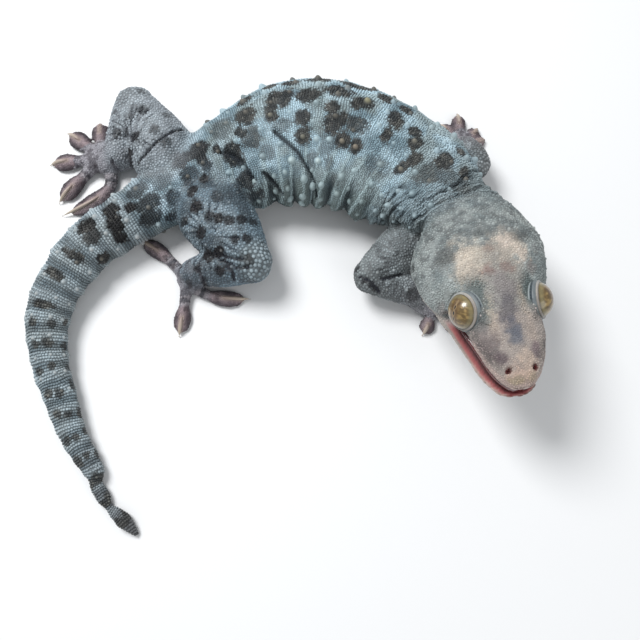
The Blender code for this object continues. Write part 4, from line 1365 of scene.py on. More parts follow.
def foot_paint(at):
    """Banded toes with pinkish pads, paler along the middle with a painted highlight, and a darker rim with
    painted shade.
    """
    lumpy = rough_noise(at.points, 1.8, 51)
    colour = mix(FOOT_GREY, FOOT_DARK, ease(0.46, 0.6, lumpy + at.flicker * 0.03) * 0.75)
    joint = np.sin(2 * math.pi * at.toe / TOE_BAND + (lumpy - 0.5) * 3)
    banded = mix(TOE_JOINT, TOE_BETWEEN, ease(-0.3, 0.6, joint))
    colour = mix(colour, banded, ease(0.12, 0.2, at.toe) * ease(0.56, 0.46, at.toe) * 0.75)
    pad = ease(0.47, 0.58, at.toe)
    sole = mix(PAD_PINK, PAD_BROWN, ease(0.38, 0.6, rough_noise(at.points, 1.6, 52)))
    # The pads' sides: their own darker rim with painted shade
    sole = mix(sole, PAD_RIM_AND_SHADE, ease(1.3, 2.4, at.toe_side) * 0.75)
    colour = mix(colour, sole, pad * 0.9)
    # A painted highlight on the top of each pad
    lit_top = ease(0.9, 1.8, at.points[:, 2]) * pad * ease(1.9, 0.3, at.toe_side + (lumpy - 0.5) * 1.6)
    colour = mix(colour, PAD_HIGHLIGHT, lit_top * 0.6)
    spots = limb_spots(at) * ease(2.0, 3.0, at.points[:, 2])
    colour = mix(colour, FOOT_SPOT, spots * 0.85)
    ridge = ease(1.1, 0.5, at.toe_side) * ease(0.62, 0.74, at.toe)
    return mix(colour, PAD_RIDGE, ridge * 0.6)


# Marks on top of the head as the photo shows them: place in the head's frame, half length and half
# width, colour and strength
HEAD_MARKS = (
    (-11, -6.5, 7, 5.2, (204, 194, 180), 0.9), (-13, 4.5, 6, 5.2, (204, 194, 181), 0.9),
    (-10, 0.5, 5.5, 4.5, (172, 164, 155), 0.7), (-11, -8.2, 3.6, 2.4, (220, 208, 193), 0.7),
    (-15, 4.2, 2.8, 2.6, (218, 204, 192), 0.7), (-10.5, 7.2, 3.6, 2.2, (216, 203, 190), 0.7),
    (-6.5, -6.8, 2.6, 2.2, (186, 174, 162), 0.6), (-18.5, -1.8, 2.0, 3.4, (84, 88, 88), 0.6),
    (-16.2, 8.8, 2.3, 3.2, (86, 89, 88), 0.6), (-13.5, -13, 3.2, 2.6, (92, 96, 95), 0.8),
    (-20, -5.5, 1.6, 3, (118, 126, 128), 0.6), (-19, 5, 1.6, 2.6, (120, 124, 124), 0.5),
    (-6.2, -2.8, 1.9, 2.2, (140, 112, 106), 0.7), (-6.4, 2.2, 2.0, 2.1, (138, 116, 110), 0.7),
    (-13, -1.2, 1.4, 1.7, (146, 126, 116), 0.55), (-6.5, 9.3, 1.8, 1.6, (136, 124, 120), 0.6),
    (-1, -0.5, 5.4, 3.4, (144, 138, 138), 0.75), (6.5, -0.8, 5, 3.2, (104, 101, 106), 0.8),
    (9.4, -0.3, 3.0, 2.3, (112, 111, 119), 0.7), (12.0, 0, 3.2, 2.2, (106, 112, 124), 0.8),
    (3.5, -5.0, 5.0, 1.3, (196, 186, 170), 0.75),
    (9, -4.8, 3.6, 1.3, (186, 172, 160), 0.7), (4, 4.6, 5, 1.3, (190, 178, 164), 0.75),
    (11, 4.6, 4.4, 1.5, (184, 170, 160), 0.7), (-0.8, -7.2, 4.8, 2.6, (108, 122, 122), 0.9),
    (1.0, 7.3, 5.4, 2.3, (102, 116, 116), 0.9), (5.0, -7.7, 3.4, 2.2, (112, 124, 124), 0.8),
    (13.6, -6.6, 3.4, 2.4, (112, 102, 103), 0.7), (10.0, -9.0, 3.4, 2.0, (134, 124, 122), 0.5),
    (17.2, -4.6, 1.9, 1.6, (96, 80, 88), 0.8), (16.2, 4.6, 2.2, 1.4, (116, 100, 108), 0.7),
    (22.6, 0, 4.0, 4.4, (206, 180, 164), 0.85), (18.6, 1.2, 2.6, 2.6, (200, 182, 168), 0.8),
    (23.2, -1.8, 1.2, 2.2, (172, 162, 130), 0.5), (22.6, 2.6, 1.0, 1.4, (174, 164, 134), 0.4),
)


def beaded(at):
    """1 where the head's granules are dark with a pale one here and there: brows, cheeks and jowls."""
    x, y, z = at.local.T
    brow = ease(1.3, 0.8, np.hypot((x - 0.8) / 5.2, (np.abs(y) - 7.6) / 2.4)) * ease(0, 3, z)
    cheek = ease(3.0, 1.0, z) * ease(-4, 4, x) * ease(20, 16, x) * ease(-5.4, -4.0, z)
    back = ease(-9, -15, x) * ease(6, 11, np.abs(y)) + ease(-18, -23, x)
    return np.clip(brow + cheek * 0.8 + back * 0.5, 0, 1)


# Colours of the head
HEAD_GREY = tint(134, 144, 145)
HEAD_PALE = tint(172, 180, 179)
CROWN_BEIGE = tint(158, 152, 145)
SNOUT_BEIGE = tint(176, 165, 158)
HEAD_MOTTLE = tint(94, 100, 102)
SNOUT_MOTTLE = tint(92, 84, 88)
HEAD_FLECK = tint(118, 116, 114)
BEAD_PALE = tint(188, 195, 192)
BEAD_PINK = tint(196, 178, 176)
LIP_PINK = tint(206, 184, 176)
THROAT_PALE = tint(192, 184, 176)
EAR_DARK_AND_SHADE = tint(52, 34, 32)
NOSTRIL_RED_AND_SHADE = tint(84, 24, 24)


def head_paint(at):
    """Grey with beige and mauve marks, beaded brows and cheeks, pale lips, dark ears and nostrils deepened
    with painted shade.
    """
    x, y, z = at.local.T
    fine = rough_noise(at.points, 1.5, 62) + at.flicker * 0.04
    coarse = rough_noise(at.points, 4.5, 61)
    colour = mix(HEAD_GREY, HEAD_PALE, ease(0.32, 0.66, coarse))
    colour = mix(colour, CROWN_BEIGE, ease(-12, -6, x) * ease(9, 5, np.abs(y)) * 0.75)
    colour = mix(colour, SNOUT_BEIGE, ease(3, 8, x) * 0.9)
    mottled = ease(0.48, 0.62, fine)
    colour = mix(colour, HEAD_MOTTLE, mottled * 0.6 * ease(-8, -13, x))
    colour = mix(colour, SNOUT_MOTTLE, mottled * 0.6 * ease(4, 7, x) * ease(4, 1, z) * ease(21, 17, x))
    above = ease(-1.0, 2.0, z + 2.5 * ease(12, 24, x))
    for across, aside, half_long, half_wide, seen, strength in HEAD_MARKS:
        away = np.hypot((x - across) / half_long, (y - aside) / half_wide)
        away += (fine - 0.5) * 1.3 + (coarse - 0.5) * 1.0
        colour = mix(colour, tint(*seen), ease(1.4, 0.45, away) * strength * above)
    colour = mix(colour, HEAD_FLECK, ease(0.5, 0.66, rough_noise(at.points, 1.1, 64)) * 0.24)
    beads, ahead = beaded(at), ease(2, 6, x)
    colour = colour * (1 - (0.12 + 0.2 * ahead) * beads * ease(0.9, 0.4, at.flicker))[:, None]
    bead = mix(BEAD_PALE, BEAD_PINK, ahead)
    colour = mix(colour, bead, ease(0.4, 1.4, at.flicker) * (0.05 + (0.34 + 0.2 * ahead) * beads))
    on_edge = ease(0.9, 0.4, inside_outline(SNOUT, at.local))
    lip = np.maximum(ease(1.9, 0.7, np.abs(z + 5.2)), on_edge) * ease(-6, 0, x)
    colour = mix(colour, LIP_PINK, lip * 0.8 * ease(0.5, -1.5, z))
    colour = mix(colour, THROAT_PALE, ease(-6.6, -8.6, z) * 0.8)
    colour = mix(colour, jaw_rim(at.local), on_rim(at.local))
    # Ears and nostrils: their own dark colour with painted shade in the hollows
    colour = mix(colour, EAR_DARK_AND_SHADE, ease(1.0, 0.6, ear_share(at.local)))
    return mix(colour, NOSTRIL_RED_AND_SHADE, ease(1.25, 0.7, nostril_share(at.local)))


# Where the lips end in front
LIP_FRONT = 24.2


def inside_outline(sections, local):
    """How far inside the outline of the snout's or jaw's sections a place is."""
    half = np.interp(local[:, 0], sections[:, 0], sections[:, 1])
    return np.minimum(half - np.abs(local[:, 1]), (LIP_FRONT - local[:, 0]) * 1.2)


def on_rim(local):
    """1 on the lower jaw's upper face, which shows between the lips."""
    return ease(-10.1, -9.4, local[:, 2]) * ease(-6.0, -6.6, local[:, 2]) * ease(-3.5, 1.5, local[:, 0])


# Colours of the lower lip and the gum inside it, darkest inwards with painted shade under the upper lip
RIM_GREY = tint(158, 156, 150)
RIM_PINK = tint(214, 186, 178)
GUM_PINK = tint(184, 108, 104)
GUM_RED = tint(150, 64, 66)
GUM_DEEP_AND_SHADE = tint(74, 24, 27)


def jaw_rim(local):
    """The lower lip: pale pink at its edge, darker red inwards, and darkest with painted shade under the
    upper lip.
    """
    inside = inside_outline(JAW, local)
    edge = mix(RIM_GREY, RIM_PINK, ease(6, 16, local[:, 0]))
    colour = mix(edge, GUM_PINK, ease(0.25, 0.8, inside))
    colour = mix(colour, GUM_RED, ease(0.6, 1.2, inside))
    # Furthest in: the gum's own deep red with painted shade under the upper lip
    return mix(colour, GUM_DEEP_AND_SHADE, ease(1.4, 2.1, inside))


# The head is nearer the light than the photo's was, so it is painted darker by this much
HEAD_SHADE = 0.86


def paint(at):
    """The colour of each place, the same for the skin and what grows on it."""
    colours = (body_paint(at), head_paint(at) * HEAD_SHADE, limb_paint(at), foot_paint(at))
    return sum(colour * share[:, None] for colour, share in zip(colours, at.wide.T))


def gap_shade(at):
    """Painted shade on the skin between its scales: how much darker it is than their own colour."""
    limb = 0.68 - 0.2 * knee_share(at)
    return at.body * 0.62 + at.head * (0.88 - 0.16 * beaded(at)) + at.limb * limb + at.foot * 0.8


def set_tint(mesh, colours):
    """Gives each of the mesh's points its colour."""
    layer = mesh.color_attributes.new("Tint", "FLOAT_COLOR", "POINT")
    rgba = np.ones((len(colours), 4), np.float32)
    rgba[:, :3] = np.clip(colours, 0, 1)
    layer.data.foreach_set("color", rgba.reshape(-1))


def add_piece(name, mesh, slot, finish, *nodes):
    """Puts a mesh in the scene as a piece of the animal."""
    piece = add_object(name, mesh)
    mesh.materials.clear()
    mesh.materials.append(finish)
    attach(piece, "root")
    if nodes:
        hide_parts(*nodes)
    return piece


class Looks:
    """A material whose colour comes from the painted Tint, mottled finely and with a fine bump."""

    def __init__(self, name, roughness, bump=0.0, bump_size=0.4, mottle=0.25):
        self.material = bpy.data.materials.new(name)
        self.material.use_nodes = True
        self.nodes, self.links = self.material.node_tree.nodes, self.material.node_tree.links
        self.shader = self.nodes["Principled BSDF"]
        self.set(Roughness=roughness)
        place_node = self.nodes.new("ShaderNodeTexCoord")
        self.where = place_node.outputs["Object"]
        painted = self.nodes.new("ShaderNodeAttribute")
        painted.attribute_name = "Tint"
        self.painted = painted.outputs["Color"]
        speckle = self.grain(bump_size * 1.7, 3.0)
        spread = self.nodes.new("ShaderNodeMapRange")
        self.links.new(speckle, spread.inputs["Value"])
        spread.inputs["To Min"].default_value = 1 - mottle
        spread.inputs["To Max"].default_value = 1 + mottle
        blend = self.nodes.new("ShaderNodeVectorMath")
        blend.operation = "SCALE"
        self.links.new(self.painted, blend.inputs[0])
        self.links.new(spread.outputs["Result"], blend.inputs["Scale"])
        self.colour = blend.outputs["Vector"]
        self.links.new(self.colour, self.shader.inputs["Base Color"])
        if bump:
            rise = self.nodes.new("ShaderNodeBump")
            rise.inputs["Distance"].default_value = bump_size * MM
            rise.inputs["Strength"].default_value = bump
            self.links.new(self.grain(bump_size, 4.0), rise.inputs["Height"])
            self.links.new(rise.outputs["Normal"], self.shader.inputs["Normal"])

    def set(self, **values):
        """Sets the shader's constants, named with _ for a space."""
        for socket, value in values.items():
            self.shader.inputs[socket.replace("_", " ")].default_value = value

    def grain(self, size, detail):
        """Noise with lumps of about this many millimetres."""
        node = self.nodes.new("ShaderNodeTexNoise")
        self.links.new(self.where, node.inputs["Vector"])
        node.inputs["Scale"].default_value = 1 / (size * MM)
        node.inputs["Detail"].default_value = detail
        return node.outputs["Fac"]


def dome(sides, levels, lean=0.14):
    """A scale's shape: rings of (reach, height), then an apex, closed below.

    Returns points (along, across, up) and triangles.
    """
    turn = circle(sides)
    points = [
        (math.cos(angle) * reach + lean * max(0.0, height), math.sin(angle) * reach, height)
        for reach, height in levels
        for angle in turn
    ]
    points.append((lean, 0.0, 1.0))
    faces = []
    for level in range(len(levels) - 1):
        for k in range(sides):
            here, after = level * sides + k, level * sides + (k + 1) % sides
            faces += [(here, after, after + sides), (here, after + sides, here + sides)]
    last = (len(levels) - 1) * sides
    faces += [(last + k, last + (k + 1) % sides, len(points) - 1) for k in range(sides)]
    faces += [(0, k + 1, k) for k in range(1, sides - 1)]
    return np.array(points), np.array(faces)


GRANULE = dome(6, ((1.0, -0.3), (0.74, 0.66)))
KNOB = dome(12, ((1.0, -0.3), (0.9, 0.02), (0.7, 0.32), (0.46, 0.72), (0.22, 0.94)), 0.2)
PLATE = dome(10, ((1.0, -0.5), (0.92, 0.45), (0.6, 0.9)))
# Most granules in one piece, which keeps it under 200,000 triangles
PIECE_LIMIT = 8800
# Half the size of each scale's patch on the unwrap
PATCH = 0.0015 / 1.1


class Scales:
    """Scales of one shape, waiting to be made into meshes, painted with shade at the foot and a highlight at
    the top.
    """

    def __init__(self, shape, foot_shade=0.55, top_highlight=1.18):
        self.shape = shape
        self.shades = foot_shade, top_highlight
        self.rows = []

    def add(self, roots, normals, alongs, sizes, colours, tops, spots):
        """sizes are half length, half width and height, and spots are places on the unwrap."""
        self.rows.append(np.hstack((roots, normals, alongs, sizes, colours, tops, spots)))

    def pieces(self, name, slot, finish, limit=PIECE_LIMIT):
        """Makes the scales into pieces of at most so many scales."""
        rows = np.vstack(self.rows)
        count = math.ceil(len(rows) / limit)
        for number, part in enumerate(np.array_split(rows, count)):
            mesh = self.mesh(f"{name}_{number + 1}", part)
            add_piece(f"{name}_{number + 1}", mesh, slot, finish)

    def mesh(self, name, rows):
        """One mesh of these scales, in metres, with its colours and its unwrap."""
        points, faces = self.shape
        roots, normals, alongs, sizes, colours, tops, spots = np.split(rows, (3, 6, 9, 12, 15, 18), axis=1)
        alongs = unit(alongs - normals * (alongs * normals).sum(axis=1, keepdims=True))
        across = np.cross(normals, alongs)
        at = roots[:, None] + sum(
            axis[:, None] * (points[:, k][None] * sizes[:, k : k + 1])[..., None]
            for k, axis in enumerate((alongs, across, normals))
        )
        at[..., 2] = np.maximum(at[..., 2], SCALE_LOW)
        corners = (faces[None] + (np.arange(len(rows)) * len(points))[:, None, None]).reshape(-1)
        mesh = bpy.data.meshes.new(name)
        mesh.vertices.add(len(rows) * len(points))
        mesh.vertices.foreach_set("co", place(at.reshape(-1, 3)).astype(np.float32).reshape(-1))
        mesh.loops.add(len(corners))
        mesh.loops.foreach_set("vertex_index", corners.astype(np.int32))
        mesh.polygons.add(len(corners) // 3)
        mesh.polygons.foreach_set("loop_start", np.arange(0, len(corners), 3, dtype=np.int32))
        mesh.polygons.foreach_set("use_smooth", np.ones(len(corners) // 3, bool))
        # Painted shade at each scale's foot and a painted highlight at its top, by its height on the dome
        shade = np.interp(points[:, 2], (-0.2, 1.0), self.shades)
        painted = mix(colours[:, None], tops[:, None], ease(0.1, 0.8, points[:, 2])[None])
        set_tint(mesh, (painted * shade[None, :, None]).reshape(-1, 3))
        patch = spots[:, None] + points[None, :, :2] * PATCH
        unwrap = mesh.uv_layers.new(name="OFBake")
        unwrap.data.foreach_set("uv", patch.reshape(-1, 2)[corners].astype(np.float32).reshape(-1))
        mesh.update(calc_edges=True)
        return mesh


def unwrapped(at):
    """Where each place is on an unwrap of the skin: body above, then head, limbs and feet below."""
    turn = at.angle / (2 * math.pi) + 0.5
    body = np.column_stack((0.01 + 0.98 * at.length / BODY_LENGTH, 0.51 + 0.48 * turn))
    x, y, z = at.local.T
    head_turn = np.arctan2(y, z + 3) / (2 * math.pi) + 0.5
    head = np.column_stack((0.02 + 0.28 * (x - HEAD_BACK) / 58, 0.02 + 0.44 * head_turn))
    limb = np.column_stack((0.33 + 0.33 * at.limb_share, 0.02 + 0.11 * (at.limb_number + at.limb_turn)))
    column, row = at.limb_number % 2, at.limb_number // 2
    foot = np.column_stack((
        0.69 + 0.155 * (column + at.foot_flat[:, 0]),
        0.02 + 0.22 * (row + at.foot_flat[:, 1]),
    ))
    places = np.stack((body, head, limb, foot), axis=1)
    return np.clip(places[np.arange(len(places)), at.region], 0.002, 0.998)


def backward(at):
    """The way that scales lie: tailwards on body and head, and outwards along limbs and toes."""
    _, forward, _, _ = spine_frame(at.length)
    head = np.broadcast_to(from_head(np.array((-1.0, 0.0, 0.0))) - from_head(np.zeros(3)), forward.shape)
    ways = np.stack((-forward, head, at.limb_way, at.toe_way), axis=1)
    return ways[np.arange(len(ways)), at.region]


class Hide:
    """The finished skin as a surface that rays can be cast on."""

    def __init__(self, mesh):
        self.points = vertex_array(mesh)
        self.normals = normal_array(mesh)
        self.faces = np.array([face.vertices[:] for face in mesh.polygons])
        self.tree = BVHTree.FromPolygons(self.points.tolist(), self.faces.tolist())

    def cast(self, starts, ways, reach):
        """Points and smooth normals where rays meet the skin, and which rays do."""
        found = np.full((len(starts), 6), np.nan)
        for k, (start, way) in enumerate(zip(starts, ways)):
            point, _, face, _ = self.tree.ray_cast(Vector(start), Vector(way), reach)
            if point is not None:
                found[k, :3] = point
                found[k, 3:] = self.normals[self.faces[face]].mean(axis=0)
        met = ~np.isnan(found[:, 0])
        found[met, 3:] = unit(found[met, 3:])
        return found[:, :3], found[:, 3:], met

    def scatter(self, density):
        """Random points on the skin, so many on a square millimetre, and their normals."""
        corners = self.points[self.faces]
        crossed = np.cross(corners[:, 2] - corners[:, 0], corners[:, 3] - corners[:, 1])
        area = np.linalg.norm(crossed, axis=1) / 2
        count = int(area.sum() * density)
        face = np.searchsorted(np.cumsum(area) / area.sum(), np.sort(rng.random(count)))
        face = rng.permutation(np.minimum(face, len(area) - 1))
        u, v = rng.random((2, count, 1))
        weights = np.stack(((1 - u) * (1 - v), u * (1 - v), u * v, (1 - u) * v), axis=1)
        roots = (corners[face] * weights).sum(axis=1)
        return roots, unit((self.normals[self.faces[face]] * weights).sum(axis=1))


# How far apart rows of granules are, by length: closer on the trunk than on the tail
ROW_STEPS = ((0, 0.74), (30, 0.68), (100, 0.7), (126, 0.98), (200, 0.9), (260, 0.72))


def lattice():
    """Staggered places on the body: length, angle in radians, and room along and round it."""
    rows, length = [], 0.3
    fine = np.linspace(-math.pi, math.pi, 241)
    number = 0
    known_lengths, known_steps = np.array(ROW_STEPS).T
    while length < BODY_LENGTH - 0.4:
        step = float(np.interp(length, known_lengths, known_steps))
        ring = spine_surface(np.full(len(fine), length), fine)
        run = running_length(ring)
        count = max(6, round(run[-1] / (step * 0.94)))
        places = (np.arange(count) + 0.5 * (number % 2)) / count * run[-1]
        found = np.interp(places, run, fine)
        found = found[np.abs(found) < math.radians(BELLY_EDGE)]
        row = np.tile((length, 0.0, step, run[-1] / count), (len(found), 1))
        row[:, 1] = found
        rows.append(row)
        length += step
        number += 1
    return np.vstack(rows)


def on_body(hide, lengths, angles):
    """Roots on the skin for places on the body, with normals, and which of them are found."""
    lengths = np.clip(lengths, 0.0, BODY_LENGTH)
    near = spine_surface(lengths, angles)
    outward = unit(spine_surface(lengths, angles, 1.0) - near + 1e-6)
    return hide.cast(near + outward * 5, -outward, 11.0)


def clear_of(tree, count, taken, rooms):
    """Which of the tree's points, so many, lie outside the room round every taken place."""
    free = np.ones(count, bool)
    for place_taken, room in zip(taken, rooms):
        for _, index, _ in tree.find_range(Vector(place_taken), room):
            free[index] = False
    return free


def thinned(points, spacing, taken, rooms):
    """Which points to keep so that each has its spacing to itself, in their order."""
    tree = tree_of(points)
    free = clear_of(tree, len(points), taken, rooms)
    keep = np.zeros(len(points), bool)
    for index in range(len(points)):
        if free[index]:
            keep[index] = True
            for _, other, _ in tree.find_range(Vector(points[index]), spacing[index]):
                free[other] = False
    return keep


def granule_room(at):
    """How far apart granules are off the body: least on the face and feet."""
    face = ease(3, 9, at.local[:, 0]) * 0.12
    for side in SIDES:
        centre, _, _, _ = eye_axes(side)
        face = np.maximum(face, ease(10, 6, np.linalg.norm(at.local - centre, axis=1)) * 0.12)
    foot = 0.66 - 0.14 * ease(0.4, 0.6, at.toe)
    limb = 0.66 + 0.14 * noise(at.points, 7, 44) + 0.42 * knee_share(at)
    return at.body * 0.72 + at.head * (0.62 - face) + at.limb * limb + at.foot * foot


# The coat's kinds of granule: material slot, painted shade at the foot and painted highlight at the
# top as factors on their colour, and how high those off the body's rows are beside their half width
COATS = {
    "coat_body": ("skin", 0.52, 1.22, 0.7),
    "coat_limbs": ("skin", 0.66, 1.14, 0.46),
    "coat_head": ("head_skin", 0.86, 1.07, 0.5),
    "coat_feet": ("toes", 0.74, 1.1, 0.38),
}
# Granules in rows: how high they are beside their half width, and the room each takes from others
ROW_RISE = 0.9
ROW_ROOM = 0.5
# Granules in no rows: how many are tried on a square millimetre, and their half width beside their room
SCATTER = 11.0
SCATTER_HALF = 0.62


def open_above(roots, normals):
    """Which places are neither turned to the floor nor lie on it."""
    return (normals[:, 2] > -0.8) & (roots[:, 2] > 0.3)


def body_rows(hide, coat, tops, rooms):
    """Adds the body's rows of granules round the tops of larger scales, and gives the rows' places."""
    lengths, angles, along, around = lattice().T
    lengths = lengths + (noise(spine_surface(lengths, angles), 5, 33) - 0.5) * 1.6
    lengths += rng.normal(0, 1, len(lengths)) * (0.05 + 0.1 * ease(48, 32, lengths))
    angles = angles + rng.normal(0, 0.05, len(angles)) / mean_radius(lengths)
    roots, normals, met = on_body(hide, lengths, angles)
    at = Places(np.where(met[:, None], roots, 0.0))
    good = met & (at.body > 0.5) & open_above(roots, normals)
    keep = good & clear_of(tree_of(roots), len(roots), tops, rooms)
    half_long, half_wide = along * np.clip(crowding(at), 0.62, 1.45) * 0.5, around * 0.66
    put_granules(coat, roots[keep], normals[keep], half_long[keep], half_wide[keep], ROW_RISE)
    return roots[good]


def scattered(hide, coats, taken, rooms):
    """Adds the granules in no rows: on head, limbs and feet, and where the body's rows are wide apart."""
    roots, normals = hide.scatter(SCATTER)
    at = Places(roots)
    fits = ((at.body < 0.62) | (crowding(at) > 1.12)) & open_above(roots, normals)
    fits &= ~in_eye(at.local) & ~((at.head > 0.5) & (on_rim(at.local) > 0.3))
    roots, normals, room = roots[fits], normals[fits], granule_room(at)[fits]
    keep = thinned(roots, room, taken, rooms)
    roots, normals, room = roots[keep], normals[keep], room[keep]
    at = Places(roots)
    for region, name in enumerate(("coat_body", "coat_head", "coat_limbs", "coat_feet")):
        own = at.region == region
        half = room[own] * SCATTER_HALF
        put_granules(coats[name], roots[own], normals[own], half, half, COATS[name][3])


def coat_parts(skin):
    """Puts the granules, tubercles and lip scales on the skin."""
    hide = Hide(skin)
    coats = {name: Scales(GRANULE, low, top) for name, (_, low, top, _) in COATS.items()}
    # Tubercles, painted with shade at their foot and a highlight at their top
    knobs = Scales(KNOB, 0.86, 1.12)
    tops, rooms = small_knobs(hide, knobs, *large_knobs(hide, knobs))
    lip_tops, lip_rooms = lip_scales(hide)
    tops, rooms = np.vstack((tops, lip_tops)), np.concatenate((rooms, lip_rooms))
    body_roots = body_rows(hide, coats["coat_body"], tops, rooms)
    taken = np.vstack((tops, body_roots))
    scattered(hide, coats, taken, np.concatenate((rooms, np.full(len(body_roots), ROW_ROOM))))
    for name, coat in coats.items():
        coat.pieces(name, COATS[name][0], SCALE_LOOKS.material)
    knobs.pieces("tubercles", "skin", KNOB_LOOKS.material, 1500)


def bend_of(lengths):
    """How much the body bends at these lengths, per millimetre, positive to its left."""
    half_step = 1.5
    _, ahead, _, _ = spine_frame(lengths - half_step)
    _, behind, _, _ = spine_frame(lengths + half_step)
    turn = np.arctan2(
        behind[:, 0] * ahead[:, 1] - behind[:, 1] * ahead[:, 0],
        (behind[:, :2] * ahead[:, :2]).sum(axis=1),
    )
    return -turn / (2 * half_step)


def crowding(at):
    """How far apart rows are beside those along the middle: wider outside the body's bend."""
    return 1 + bend_of(at.length) * at.radius * np.sin(at.angle)


def in_eye(local):
    """Which points are in an eye's opening or under its lid."""
    inside = np.zeros(len(local), bool)
    for side in SIDES:
        centre, out, _, _ = eye_axes(side)
        away = local - centre
        reach = np.linalg.norm(away, axis=1)
        polar = np.arccos(np.clip(away @ out / reach, -1, 1))
        share = (polar - EYE_EDGE) / lid_width(away, side)
        inside |= (reach < EYE_RADIUS + 2.5) & (share < 0) | (reach < EYE_RADIUS + 0.5) & (share < 0.9)
    return inside


def put_granules(scales, roots, normals, along, across, rise):
    """Adds granules of these half lengths and half widths, rise times as high, each a little different."""
    at = Places(roots)
    at.flicker = np.clip(rng.normal(0, 1, len(roots)), -2, 2)
    colours = paint(at) * rng.uniform(0.86, 1.14, (len(roots), 1))
    vary = rng.uniform(0.88, 1.1, len(roots))
    height = np.minimum(along, across) * rise
    sizes = np.column_stack((along, across, height)) * vary[:, None]
    scales.add(roots, normals, backward(at), sizes, colours, colours, unwrapped(at))


# Tubercles: how far apart their rows are along the trunk, and how far apart they are round it
KNOB_STEP = 6.2
KNOB_AROUND = 6.3
# On the tail they ring its whorls at these degrees, as far as this length
TAIL_KNOBS = (-105, -66, -24, 24, 66, 105)
TAIL_KNOBS_END = 196
# Small ones on nape and limbs: how many are tried on a square millimetre, and the range of their sizes
SMALL_KNOBS = 0.12
SMALL_SIZES = (0.42, 0.66)
# Big tubercles that the photo shows one by one: length, degrees, size and colour
SINGLE_KNOBS = (
    (43.5, 30, 1.25, (134, 131, 106)), (46.8, -12, 1.05, (118, 112, 100)), (41.7, -13, 1.05, (122, 114, 102)),
    (60.5, -12, 1.0, (106, 105, 95)), (25.0, -13, 0.95, (112, 110, 100)), (26.5, 14, 0.95, (110, 108, 98)),
    (69.5, 10, 1.0, (108, 106, 96)), (65.5, -32, 1.1, (166, 184, 186)), (55.5, -14, 1.1, (158, 178, 184)),
    (51.0, -13, 1.1, (156, 176, 182)), (54.0, -33, 1.1, (170, 188, 190)),
)
SINGLES = np.array([row[:3] for row in SINGLE_KNOBS])
# How far other tubercles keep from those, and how long a degree round the back is
SINGLE_ROOM = 3.6
MM_A_DEGREE = 0.28


def knob_places():
    """Staggered, unsteady rows of places on the trunk, then rings on the tail's whorls."""
    found = []
    for number, length in enumerate(np.arange(7.0, WHORL_START - 2, KNOB_STEP)):
        radius = mean_radius(np.array([length]))[0]
        step = math.degrees(KNOB_AROUND / radius)
        for turn in np.arange(-125 + (number % 2) * step / 2, 126, step):
            size = rng.uniform(0.72, 1.05) * mix_number(1.0, 1.3, float(ease(44, 58, turn)))
            found.append((length + rng.normal(0, 0.7), turn + rng.normal(0, step * 0.1), size))
    for length in (WHORLS[:-1] + WHORLS[1:]) / 2:
        if length < TAIL_KNOBS_END:
            size = float(np.interp(length, (112, 200), (1.0, 0.5)))
            for turn in TAIL_KNOBS:
                place_at = length + rng.normal(0, 0.3), turn + rng.normal(0, 3)
                found.append((*place_at, size * rng.uniform(0.85, 1.1)))
    found = np.array(found)
    along = found[:, None, 0] - SINGLES[None, :, 0]
    around = (found[:, None, 1] - SINGLES[None, :, 1]) * MM_A_DEGREE
    return found[np.hypot(along, around).min(axis=1) > SINGLE_ROOM]


# Colours of the tubercles' tops
KNOB_BLUE = tint(150, 170, 176)
KNOB_BROWN = tint(106, 102, 92)
KNOB_FLANK = tint(146, 164, 166)
KNOB_TAIL = tint(156, 158, 156)
KNOB_SMALL = tint(180, 184, 182)


def add_kept(scales, keep, at, normals, sizes, colours, tops):
    """Adds scales at the places where keep is true."""
    rows = at.points, normals, backward(at), sizes, colours, tops, unwrapped(at)
    scales.add(*(row[keep] for row in rows))


def large_knobs(hide, knobs):
    """Adds the tubercles of trunk and tail, and gives their places and the room each takes."""
    rows = np.vstack((knob_places(), SINGLES))
    roots, normals, met = on_body(hide, rows[:, 0], np.radians(rows[:, 1]))
    at = Places(np.where(met[:, None], roots, 0.0))
    own = np.arange(len(rows)) >= len(rows) - len(SINGLES)
    keep = met & (at.body > 0.6) & (normals[:, 2] > -0.5)
    ground = paint(at)
    dark = spottedness(at)
    degrees = np.degrees(at.angle)
    right = ease(-28, -48, degrees) * ease(22, 30, at.length) * ease(112, 100, at.length)
    colours = mix(KNOB_BLUE, KNOB_BROWN, ease(0.35, 0.7, dark))
    colours = mix(colours, KNOB_FLANK, right)
    colours = mix(colours, KNOB_TAIL, ease(112, 122, at.length) * (1 - dark))
    colours = mix(ground, colours, 0.55 + 0.2 * right)
    colours[own] = [tint(*row[3]) for row in SINGLE_KNOBS]
    size = rows[:, 2]
    height = size * mix_number(1.15, 0.62, right) * mix_number(1.0, 0.85, ease(112, 150, at.length))
    sizes = np.column_stack((size * 1.3, size * mix_number(1.3, 1.6, right), height))
    add_kept(knobs, keep, at, normals, sizes, ground, colours)
    return roots[keep], size[keep] * 1.05


